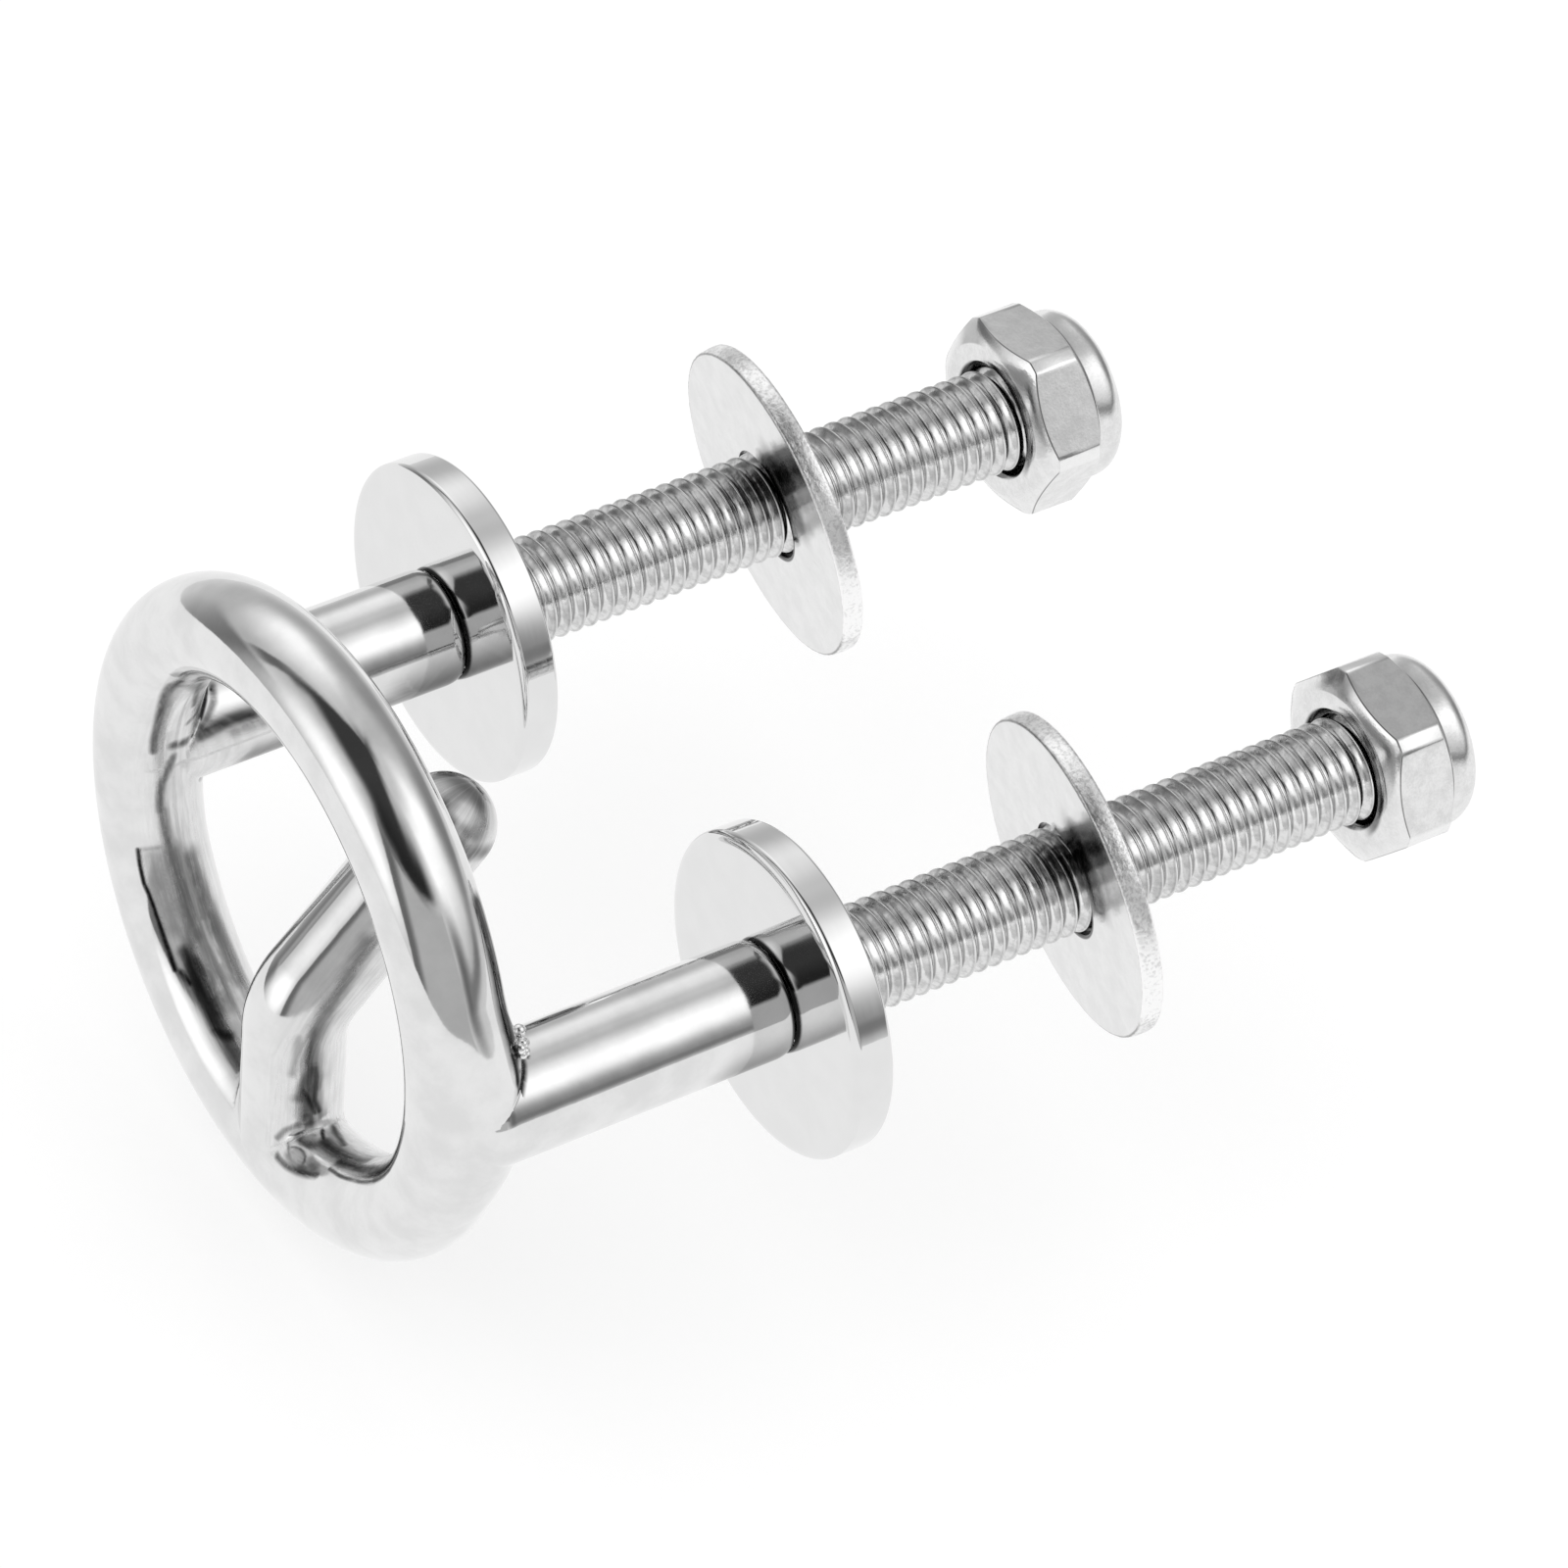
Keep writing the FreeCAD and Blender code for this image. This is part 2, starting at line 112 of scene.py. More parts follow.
def new_piece(mesh, node):
    """Smooth piece that stands for a CAD node."""
    for polygon in mesh.polygons:
        polygon.use_smooth = True
    piece = in_scene(mesh)
    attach(piece, "root")
    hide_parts(node)
    print(piece.name, len(mesh.polygons), "faces")
    return piece


JOIN_GAP = 0.0005


def clean(piece):
    """Join vertices that fell together, point all faces outwards and keep broad faces flat."""
    work = bmesh.new()
    work.from_mesh(piece.data)
    bmesh.ops.remove_doubles(work, verts=work.verts, dist=JOIN_GAP * MM)
    bmesh.ops.dissolve_degenerate(work, edges=work.edges, dist=JOIN_GAP * MM)
    bmesh.ops.recalc_face_normals(work, faces=work.faces)
    work.to_mesh(piece.data)
    work.free()
    weigh = piece.modifiers.new("weigh", "WEIGHTED_NORMAL")
    weigh.keep_sharp = True
    weigh.weight = 100


# %% Turned and moved vertices
def full_turn(steps):
    """Angles once round."""
    return np.arange(steps) * 2 * math.pi / steps


def grid_faces(rows, columns, close_rows=False):
    """Quads of a grid whose columns go all the way round."""
    faces = []
    last = rows if close_rows else rows - 1
    for row in range(last):
        below = row * columns
        above = (row + 1) % rows * columns
        for column in range(columns):
            after = (column + 1) % columns
            faces.append((below + column, below + after, above + after, above + column))
    return faces


def turned(profile, steps):
    """Vertices and quads of a closed profile of (radius, along) turned about the Y axis."""
    turn = full_turn(steps)
    rings = [np.stack([r * np.cos(turn), along + 0 * turn, r * np.sin(turn)], axis=1) for r, along in profile]
    return np.concatenate(rings), grid_faces(len(profile), steps, close_rows=True)


def arc(centre, radius, start, end, steps, high=None):
    """Points of an arc from one angle to another, in degrees, as (across, along)."""
    high = radius if high is None else high
    angles = np.radians(np.linspace(start, end, steps + 1))
    return [(centre[0] + radius * math.cos(a), centre[1] + high * math.sin(a)) for a in angles]


def moved(vertices, matrix):
    """Vertices moved by a matrix."""
    full = np.array(matrix)
    return vertices @ full[:3, :3].T + full[:3, 3]


print("helpers: a square turned once gives", len(turned([(1, 0), (2, 0), (2, 1), (1, 1)], 64)[0]), "vertices")

# %% [markdown]
# ## The welded ring, hook and shanks
#
# On the real hook these are separate bars, welded together, then ground and polished
# until they flow into each other. Tubes pushed through each other would show hard
# seams. Instead the body is described by its distance function: for any point in
# space, how far is the metal? Bars are simple distances, and a weld is a rounded
# union of two of them. A voxel remesh gives an even skin, and each vertex is then
# moved onto the true surface, whose slope also gives perfectly smooth normals.

# %% Bar sizes
STUD_SIDE = 27.2
SIDES = {"left": -STUD_SIDE, "right": STUD_SIDE}
STUD_RADIUS = 4.9
RING_CENTRE = np.array([0.0, -33.7, 0.4])
RING_RADIUS = 26.5
RING_BAR = 4.635
SHANK_RADIUS = 5.4
SHANK_START = -31.3
SHANK_EDGE = 0.42
SHANK_ROLL = 1.3
SHOULDER = -3.6
KNUCKLE_GROWTH = 0.9
KNUCKLE_LIFT = (5.0, 24.0)
HOOK_BAR = 4.6
HOOK_ROOT = 13.6
HOOK_BEND = 6.7
HOOK_TURN = math.radians(44)
HOOK_NOSE = 17.9
X_AXIS = np.array([1.0, 0, 0])


def on_both_sides(make):
    """The same piece for the left stud, which is far from the camera, and the right one."""
    return [make(side_name, side) for side_name, side in SIDES.items()]


def bend_foot(turn):
    """Point of the hook's bend at a turn."""
    return bend_centre + HOOK_BEND * np.array([0, -math.cos(turn), math.sin(turn)])


def hook_way(turn):
    """Direction in which the hook bar runs after a turn."""
    return np.array([0, math.sin(turn), math.cos(turn)])


hook_start = np.array([0.0, RING_CENTRE[1], RING_CENTRE[2] - RING_RADIUS])
bend_start = hook_start + [0, 0, HOOK_ROOT]
bend_centre = bend_start + [0, HOOK_BEND, 0]
bend_end = bend_foot(HOOK_TURN)
hook_tip = bend_end + HOOK_NOSE * hook_way(HOOK_TURN)
print("hook bar runs", hook_start, "->", bend_start, "->", bend_end, "->", hook_tip)


# %% Nearest point of each centreline
def line_foot(points, start, end):
    """Nearest points of a straight centreline."""
    way = end - start
    share = np.clip((points - start) @ way / (way @ way), 0, 1)
    return start + share[:, None] * way


def ring_foot(points):
    """Nearest points of the ring's centreline."""
    local = points - RING_CENTRE
    local[:, 1] = 0
    reach = np.maximum(np.linalg.norm(local, axis=1), 1e-6)
    return RING_CENTRE + local * (RING_RADIUS / reach)[:, None]


def hook_foot(points):
    """Nearest points of the hook's centreline: a straight, a bend and a straight."""
    local = points - bend_centre
    turn = np.clip(np.arctan2(local[:, 2], -local[:, 1]), 0, HOOK_TURN)
    bend = bend_centre + HOOK_BEND * np.stack([0 * turn, -np.cos(turn), np.sin(turn)], axis=1)
    straights = line_foot(points, hook_start, bend_start), line_foot(points, bend_end, hook_tip)
    feet = np.stack([straights[0], bend, straights[1]])
    nearest = np.linalg.norm(points - feet, axis=2).argmin(axis=0)
    return feet[nearest, np.arange(len(points))]


def shank_foot(points, side):
    """Nearest points of a shank's centreline, which starts inside the ring's bar."""
    along = np.maximum(points[:, 1], SHANK_START)
    return np.stack([np.full_like(along, side), along, 0 * along], axis=1)


# %% Swelling of the ring beside a shank
KNUCKLE_BACK = (0.45, 0.8)
KNUCKLE_OUTER = (0.7, 0.8)


def soft_step(value):
    """Smooth step from zero to one."""
    share = np.clip(value, 0, 1)
    return share * share * (3 - 2 * share)


def knuckle(points, feet):
    """Growth of the ring's bar by the weld of a shank, on the bar's back and outer side."""
    local = points - RING_CENTRE
    lift = np.degrees(np.arctan2(np.abs(local[:, 2]), np.abs(local[:, 0])))
    swell = soft_step((KNUCKLE_LIFT[1] - lift) / (KNUCKLE_LIFT[1] - KNUCKLE_LIFT[0]))
    away = points - feet
    away /= np.maximum(np.linalg.norm(away, axis=1), 1e-6)[:, None]
    back = soft_step((away[:, 1] + KNUCKLE_BACK[0]) / KNUCKLE_BACK[1])
    outer = soft_step((away[:, 0] * np.sign(local[:, 0]) + KNUCKLE_OUTER[0]) / KNUCKLE_OUTER[1])
    return KNUCKLE_GROWTH * swell * back * outer


# %% Distance to the metal, with ground welds
SHANK_WELD = 0.35
HOOK_WELD = 1.1
DRIP = np.array([5.1, -36.4, -21.5])
DRIP_HEIGHT = 0.7
DRIP_SPREAD = 1.55
MOST_LEAN = 0.98


def bar(points, feet, radius):
    """Distance to a round bar and the direction away from it."""
    away = points - feet
    reach = np.maximum(np.linalg.norm(away, axis=1), 1e-9)
    return reach - radius, away / reach[:, None]


def weld(first, second, radius):
    """Union of two bars with a ball-rolled fillet, which fades out where they run flush."""
    a, way_a = first
    b, way_b = second
    lean = np.clip((way_a * way_b).sum(axis=1), -MOST_LEAN, MOST_LEAN)
    share_a = ((radius - a) - lean * (radius - b)) / (1 - lean ** 2)
    share_b = ((radius - b) - lean * (radius - a)) / (1 - lean ** 2)
    ball = np.sqrt(np.maximum(share_a ** 2 + share_b ** 2 + 2 * lean * share_a * share_b, 0))
    filled = (share_a > 0) & (share_b > 0)
    way = np.where((a < b)[:, None], way_a, way_b)
    round_way = share_a[:, None] * way_a + share_b[:, None] * way_b
    round_way /= np.maximum(np.linalg.norm(round_way, axis=1), 1e-9)[:, None]
    reach = np.where(filled, radius - ball, np.minimum(a, b))
    return reach, np.where(filled[:, None], round_way, way)


def from_body(points):
    """Distance to the whole welded body, with its rolled shank ends and the drip at the hook's root."""
    feet = ring_foot(points)
    ring = bar(points, feet, RING_BAR + knuckle(points, feet))
    body = weld(ring, bar(points, hook_foot(points), HOOK_BAR), HOOK_WELD)
    for side in SIDES.values():
        body = weld(body, bar(points, shank_foot(points, side), SHANK_RADIUS), SHANK_WELD)
    side = np.stack([body[0], (points[:, 1] - SHOULDER) * SHANK_EDGE / SHANK_ROLL]) + SHANK_EDGE
    rounded = np.linalg.norm(np.maximum(side, 0), axis=0)
    drip = DRIP_HEIGHT * np.exp(-((np.linalg.norm(points - DRIP, axis=1) / DRIP_SPREAD) ** 2))
    return rounded + np.minimum(side.max(axis=0), 0) - SHANK_EDGE - drip


def slope(points, step=0.01):
    """Direction in which the distance to the body grows, by small steps each way."""
    parts = []
    for axis in range(3):
        move = np.zeros(3)
        move[axis] = step
        parts.append(from_body(points + move) - from_body(points - move))
    return np.stack(parts, axis=1) / (2 * step)


def onto_skin(points, rounds=4):
    """Points moved onto the body's skin, each along its own slope."""
    for _ in range(rounds):
        points = points - slope(points) * from_body(points)[:, None]
    return points


# %% Rough bars for the remesh
BAR_STEPS = 48
RING_STEPS = 160
NOSE_REACH = 0.98


def tube(path, radius):
    """Closed tube along a path that lies across the X axis."""
    path = np.asarray(path, float)
    turn = full_turn(BAR_STEPS)
    vertices = []
    for number, point in enumerate(path):
        ahead = path[min(number + 1, len(path) - 1)] - path[max(number - 1, 0)]
        up = np.cross(ahead / np.linalg.norm(ahead), X_AXIS)
        vertices.append(point + radius * (np.cos(turn)[:, None] * X_AXIS + np.sin(turn)[:, None] * up))
    faces = grid_faces(len(path), BAR_STEPS)
    faces.append(tuple(range(BAR_STEPS - 1, -1, -1)))
    faces.append(tuple(range((len(path) - 1) * BAR_STEPS, len(path) * BAR_STEPS)))
    return np.concatenate(vertices), faces


def ring_grid():
    """The ring's bar as a grid of quads."""
    turn = full_turn(RING_STEPS)
    small = full_turn(BAR_STEPS)
    wide = RING_RADIUS + RING_BAR * np.cos(small)[None, :]
    x = wide * np.cos(turn)[:, None]
    z = wide * np.sin(turn)[:, None]
    y = np.broadcast_to(RING_BAR * np.sin(small)[None, :], x.shape)
    grid = np.stack([x, y, z], axis=2).reshape(-1, 3) + RING_CENTRE
    return grid, grid_faces(RING_STEPS, BAR_STEPS, close_rows=True)


bend_path = [bend_foot(turn) for turn in np.linspace(0, HOOK_TURN, 13)]
nose_end = hook_tip + NOSE_REACH * HOOK_BAR * hook_way(HOOK_TURN)
rough = [ring_grid(), tube([hook_start] + bend_path + [nose_end], HOOK_BAR)]
for side in SIDES.values():
    rough.append(tube([(side, SHANK_START, 0), (side, SHOULDER, 0)], SHANK_RADIUS))

vertices, faces = [], []
for bar_vertices, bar_faces in rough:
    base = sum(len(v) for v in vertices)
    vertices.append(bar_vertices)
    faces += [tuple(base + index for index in face) for face in bar_faces]
tow_ring = new_piece(new_mesh("polished_tow_ring", np.concatenate(vertices), faces), "tow_hook")

# %% Even skin by remesh
VOXEL = 0.39

remesh = tow_ring.modifiers.new("skin", "REMESH")
remesh.mode = "VOXEL"
remesh.voxel_size = VOXEL * MM
skin = bpy.data.meshes.new_from_object(tow_ring.evaluated_get(bpy.context.evaluated_depsgraph_get()))
tow_ring.modifiers.clear()
tow_ring.data = skin
skin.name = "polished_tow_ring"
print("remeshed skin:", len(skin.vertices), "vertices")


# %% Settling and refining the skin
LEAST_STEEP = 0.25
UNDER_STUD = 4.5


def read_points(mesh):
    """Vertices of a mesh in millimetres."""
    flat = np.empty(len(mesh.vertices) * 3, np.float32)
    mesh.vertices.foreach_get("co", flat)
    return flat.reshape(-1, 3).astype(float) / MM


def settle(mesh, rounds):
    """Even out a skin along its surface and drop every vertex onto the true form."""
    points = read_points(mesh)
    ends = np.empty(len(mesh.edges) * 2, np.int32)
    mesh.edges.foreach_get("vertices", ends)
    ends = ends.reshape(-1, 2)
    count = np.bincount(ends.ravel(), minlength=len(points))[:, None]
    for step in range(rounds + 3):
        if step < rounds:
            total = np.zeros_like(points)
            np.add.at(total, ends[:, 0], points[ends[:, 1]])
            np.add.at(total, ends[:, 1], points[ends[:, 0]])
            points = 0.5 * points + 0.5 * total / count
        grown = slope(points)
        steep = np.maximum((grown ** 2).sum(axis=1), LEAST_STEEP)
        points = points - grown * (from_body(points) / steep)[:, None]
    mesh.vertices.foreach_set("co", (points * MM).astype(np.float32).ravel())
    mesh.update()
    return points


def refine(mesh, wanted):
    """Halve the edges whose two ends are wanted."""
    work = bmesh.new()
    work.from_mesh(mesh)
    edges = [edge for edge in work.edges if wanted[edge.verts[0].index] and wanted[edge.verts[1].index]]
    bmesh.ops.subdivide_edges(work, edges=edges, cuts=1, use_grid_fill=True)
    work.to_mesh(mesh)
    work.free()
    print("refined", len(edges), "edges:", len(mesh.vertices), "vertices")


def fold_depth(points):
    """How far points are from the fold between the ring and the nearer shank."""
    feet = ring_foot(points)
    ring = np.linalg.norm(points - feet, axis=1) - RING_BAR - knuckle(points, feet)
    feet = [shank_foot(points, side) for side in SIDES.values()]
    shank = np.min([np.linalg.norm(points - foot, axis=1) for foot in feet], axis=0) - SHANK_RADIUS
    return np.maximum(ring, shank)


def near_crease(points, reach, end):
    """Points within reach of a fold, or close to a shank's end where no stud hides it."""
    folded = (fold_depth(points) < reach) & (points[:, 1] > SHANK_START)
    across = np.abs(np.abs(points[:, 0]) - STUD_SIDE)
    return (folded | (points[:, 1] > SHOULDER - end)) & (np.hypot(across, points[:, 2]) > UNDER_STUD)


settle(tow_ring.data, rounds=10)
refine(tow_ring.data, near_crease(read_points(tow_ring.data), reach=0.7, end=1.2))
settle(tow_ring.data, rounds=2)
refine(tow_ring.data, near_crease(read_points(tow_ring.data), reach=0.35, end=0.5))
body_points = settle(tow_ring.data, rounds=3)
print("skin:", len(body_points), "vertices, worst miss", float(np.abs(from_body(body_points)).max()), "mm")
print("body box:", body_points.min(axis=0), body_points.max(axis=0))

# %% [markdown]
# ## Where the polish stops
#
# Only what a buffing wheel can reach is bright. Inside the ring, in the weld at the
# hook's root and under the far shank the real metal is ground, scratched and stained
# grey. Many of the dark strokes are also painted shade and painted reflections: in
# the folds of the welds and under the far shank, on the shadow side of the hook's root
# and under its drip, on the shank ends by the washers, on the hook's tip and along the
# ring's edge above the near shank. The glint strokes are painted highlights. All these
# marks are strokes along the bars, as a person would make them with a small grinder:
# where they start and end, how wide, how strong. They are painted into the skin as
# numbers per vertex, which the material reads.

# %% Places on the bars
def on_ring(clock, around):
    """Point by degrees: clock from the right over the top, around from the ring's outside to its front."""
    clock, around = math.radians(clock), math.radians(around)
    outwards = np.array([math.cos(clock), 0, math.sin(clock)])
    away = math.cos(around) * outwards + math.sin(around) * np.array([0, -1, 0])
    return RING_CENTRE + RING_RADIUS * outwards + RING_BAR * away


def on_hook(along, around):
    """Point of the hook: along in millimetres from its root, around in degrees from right to front."""
    turn = min(max((along - HOOK_ROOT) / HOOK_BEND, 0), HOOK_TURN)
    way = hook_way(turn)
    if along < HOOK_ROOT:
        foot = hook_start + along * way
    elif turn < HOOK_TURN:
        foot = bend_foot(turn)
    else:
        foot = bend_end + (along - HOOK_ROOT - HOOK_BEND * HOOK_TURN) * way
    around = math.radians(around)
    front = np.array([0, -way[2], way[1]])
    return foot + HOOK_BAR * (math.cos(around) * X_AXIS + math.sin(around) * front)


def on_left_shank(along, around):
    """Point of the left shank's skin: along is Y, around in degrees from the right over the top."""
    around = math.radians(around)
    return np.array([SHANK_RADIUS * math.cos(around) - STUD_SIDE, along, SHANK_RADIUS * math.sin(around)])


def on_right_shank(along, around):
    """The same on the right shank."""
    return on_left_shank(along, around) + [2 * STUD_SIDE, 0, 0]


print("top of the ring:", on_ring(90, 0), "hook's nose:", on_hook(36, 90))

# %% Stains and painted shade
# each stroke: bar, places along and around it, half-width in millimetres, strength
STAINS_AND_SHADE = [
    # the weld of the far shank, seen through the ring: stains, with painted shade under the shank and in its
    # folds
    (on_ring, [(174, 157), (170, 156), (165, 156), (158, 154), (149, 148), (143, 146), (138, 149)],
     0.62, 0.6),
    (on_ring, [(136, 135), (129, 135), (123, 136)], 0.5, 0.4),
    (on_ring, [(141, 176), (152, 189), (160, 197)], 0.55, 0.55),
    (on_ring, [(158, 216), (162, 215), (166, 212), (167, 196)], 0.6, 0.5),
    (on_left_shank, [(-28, 66), (-28.5, 52), (-29.5, 41), (-30.4, 33)], 0.65, 0.5),
    (on_ring, [(174, 208)], 0.41, 0.75),
    (on_ring, [(152, 204)], 0.45, 0.9),
    (on_left_shank, [(-28.2, 63)], 0.45, 0.9),
    (on_ring, [(142, 153), (142, 167), (150, 193)], 1.1, 0.3),
    (on_ring, [(173, 179), (174, 197)], 0.85, 0.6),
    (on_left_shank, [(-30.6, 26), (-29.1, 28), (-27.5, 30), (-26.3, 29), (-25.4, 27)], 0.9, 0.6),
    (on_ring, [(177, 181), (179, 178), (182, 173), (184, 168), (188, 165), (192, 164)], 0.7, 0.5),
    (on_ring, [(178, 176), (181, 173)], 0.5, 0.5),
    (on_left_shank, [(-27.3, 17), (-25.8, 17), (-24.5, 15)], 1, 0.25),
    # painted shade and painted reflections: the shank ends by the washers and the far shank's underside
    (on_left_shank, [(-8.5, -32), (-6, -32), (-3.8, -32)], 6.0, 0.62),
    (on_left_shank, [(-25, -30), (-17, -28), (-10, -27)], 3.0, 0.5),
    (on_right_shank, [(-8, -42), (-6, -42), (-3.8, -42)], 5.6, 0.55),
    # the inside of the ring on the left
    (on_ring, [(192, 166), (196, 167), (201, 169)], 0.9, 0.42),
    (on_ring, [(203, 171), (211, 173), (218, 174), (224, 175)], 1.7, 0.4),
    (on_ring, [(206, 190), (213, 193), (219, 195), (224, 195)], 1.8, 0.42),
    (on_ring, [(225, 197), (231, 197), (236, 197)], 1.5, 0.36),
    (on_ring, [(221, 175), (228, 179), (235, 180), (241, 175)], 1.5, 0.32),
    (on_ring, [(226, 154), (229, 155), (234, 155), (239, 156), (244, 153)], 1.0, 0.56),
    (on_ring, [(230, 143), (233, 147)], 0.5, 0.75),
    (on_ring, [(229, 163), (233, 167), (238, 166), (242, 161)], 0.9, 0.5),
    (on_ring, [(245, 151), (247, 156), (248, 161)], 0.8, 0.65),
    (on_ring, [(201, 134), (205, 133), (209, 133), (212, 136), (215, 137), (220, 138)], 0.36, 0.95),
    (on_ring, [(220, 138), (225, 138), (229, 137)], 0.4, 0.85),
    (on_ring, [(201, 139), (201, 150), (201, 160)], 0.45, 0.22),
    (on_ring, [(203, 147), (209, 149), (215, 151), (220, 151)], 1.5, 0.2),
    # the root of the hook: stains, with painted shade on its shadow side and under the drip
    (on_hook, [(25.2, 33), (23, 28), (20.4, 22), (18.4, 19)], 1.4, 0.32),
    (on_hook, [(18.4, 17), (16.2, 15), (14.9, 13), (13.4, 12), (11.6, 8)], 1.9, 0.24),
    (on_hook, [(16.6, 18), (14.9, 17), (13.2, 15)], 0.8, 0.35),
    (on_hook, [(15.6, 30), (14, 28), (12.2, 32)], 0.8, 0.25),
    (on_hook, [(12.7, 12), (11.4, 18), (10.3, 21), (9.3, 25)], 1.0, 0.42),
    (on_hook, [(12.7, 8), (11.3, 5), (10, 6)], 0.8, 0.55),
    (on_hook, [(10.3, 20), (8.7, 12), (7.1, 5)], 0.42, 0.6),
    (on_ring, [(-76, 179), (-73, 173)], 0.32, 0.85),
    (on_hook, [(10, 6), (8.8, 7), (7.2, 1)], 0.5, 0.6),
    (on_hook, [(7.1, 16), (6.1, 10)], 0.64, 0.35),
    (on_hook, [(4.4, 45), (5.5, 37), (6.2, 25)], 0.5, 0.4),
    (on_ring, [(-80, 126), (-76, 125), (-72, 127), (-68, 131), (-65, 135)], 0.6, 0.6),
    (on_ring, [(-76, 138), (-72, 134)], 1.2, 0.4),
    (on_ring, [(-70, 145), (-67, 141)], 0.9, 0.35),
    (on_ring, [(-72, 172), (-68, 170), (-63, 170), (-58, 170), (-51, 172)], 1.0, 0.68),
    (on_ring, [(-61, 159), (-54, 159), (-42, 154), (-25, 135)], 0.75, 0.7),
    (on_ring, [(-62, 148), (-56, 144), (-48, 141), (-36, 132)], 0.32, 0.8),
    (on_ring, [(-35, 134), (-28, 130), (-21, 122)], 0.64, 0.8),
    (on_ring, [(-21, 122), (-14, 115), (-7, 110), (-2, 107)], 0.35, 0.78),
    (on_ring, [(-3, 110), (1, 116)], 0.23, 0.4),
    (on_ring, [(-76, 193), (-72, 189), (-67, 182)], 0.55, 0.6),
    # the weld of the near shank: stains and painted shade in its fold
    (on_ring, [(14, 324), (11, 322), (9, 324)], 0.7, 0.92),
    (on_right_shank, [(-28.2, 78)], 0.36, 0.8),
    (on_ring, [(10, 315)], 0.36, 0.8),
    (on_right_shank, [(-26.3, 120), (-23.7, 122), (-21.4, 120)], 0.27, 0.8),
    # the tip of the hook: stain, and painted shade on its dome
    (on_hook, [(44, 60), (44, 120)], 5.5, 0.34),
    (on_hook, [(36.6, 180), (36.9, 109), (36.9, 52), (36.6, 3)], 1.3, 0.5),
    (on_hook, [(37, 3), (37.5, -30), (38, -60)], 1.3, 0.42),
    # painted reflection: a dark band along the edge of the ring above the near shank
    (on_ring, [(40, 316), (33, 318), (26, 320), (19, 321), (13, 320)], 1.5, 0.8),
]
print("stains:", len(STAINS_AND_SHADE))

# %% Painted highlights, some along bright scratches, and ground patches
# glints: painted highlights, a lighter colour where the steel shines
GLINTS = [
    (on_hook, [(1.7, 6), (2.5, 8), (3.5, 10)], 0.85, 1),
    (on_hook, [(6.1, -5)], 0.32, 0.95),
    (on_ring, [(-77, 186)], 0.32, 0.95),
    (on_ring, [(-70, 152), (-66, 153), (-63, 153)], 0.24, 0.9),
    (on_ring, [(-58, 149), (-50, 147), (-41, 142)], 0.24, 0.8),
    (on_ring, [(-47, 166), (-43, 169)], 0.27, 0.8),
    (on_ring, [(221, 185), (226, 185), (231, 188)], 0.32, 0.4),
    (on_ring, [(167, 170), (161, 172), (154, 176)], 0.45, 0.6),
    (on_right_shank, [(-21.4, 117), (-19.9, 116), (-18.7, 113)], 0.18, 0.9),
]
GROUND = [
    (on_ring, [(clock, 186) for clock in range(140, 255, 6)], 5.2, 1.0),
    (on_ring, [(clock, 182) for clock in range(-76, -6, 6)], 4.6, 1.0),
    (on_hook, [(-2, 0), (8, 0), (18, 4), (27, 10)], 5.0, 1.0),
    (on_hook, [(3, 40), (10, 40), (15, 34)], 2.6, 0.9),
    (on_left_shank, [(-33, -10), (-24, -5), (-18, 0)], 6.0, 0.9),
    (on_hook, [(35.6, 90), (38, 90)], 5.5, 0.9),
    (on_hook, [(35.6, -20), (38, 0)], 5.5, 0.9),
]
print("glints:", len(GLINTS), "ground patches:", len(GROUND))

# %% Strokes turned into numbers per vertex
STROKE_MARGIN = 1.2
STROKE_STEPS = 12
OFF_STROKE = -2.0
# width and strength of the painted shade along the fold between the ring and the shanks, and where it fades
# out low down
CREASE = 0.5
CREASE_SHADE_FORCE = 0.85
CREASE_BOTTOM = -6.5
CREASE_FADE = 5.0
HOOK_GRAIN = [200, 50]


def stroke_share(points, strokes):
    """The stroke that covers each point best: one on its line, nought at its edge; and its strength."""
    best = np.full(len(points), -9.0)
    share = np.full(len(points), OFF_STROKE)
    force = np.zeros(len(points))
    for place, stops, width, strength in strokes:
        along, around = np.array(stops, float).T
        count = range(len(stops))
        legs = np.linspace(0, len(stops) - 1, STROKE_STEPS * len(stops))
        trail = [place(np.interp(leg, count, along), np.interp(leg, count, around)) for leg in legs]
        trail = onto_skin(np.array(trail))
        low = trail.min(axis=0) - width - STROKE_MARGIN
        high = trail.max(axis=0) + width + STROKE_MARGIN
        near = np.flatnonzero(np.all((points > low) & (points < high), axis=1))
        away = np.min([np.linalg.norm(points[near] - spot, axis=1) for spot in trail], axis=0)
        here = np.maximum(1 - away / width, OFF_STROKE)
        rank = np.where(here > 0, strength * soft_step(here), here)
        won = rank > best[near]
        best[near[won]] = rank[won]
        share[near[won]] = here[won]
        force[near[won]] = strength
    return np.column_stack([share, force, np.zeros(len(points))])


def crease_shade_share(points):
    """Like stroke_share, for painted shade along the fold between the ring and the shanks, fading out towards
    the bottom.
    """
    share = np.maximum(1 - fold_depth(points) / CREASE, OFF_STROKE)
    share[points[:, 1] < SHANK_START + 1] = OFF_STROKE
    force = CREASE_SHADE_FORCE * soft_step((points[:, 2] - CREASE_BOTTOM) / CREASE_FADE)
    return np.column_stack([share, force, np.zeros(len(points))])


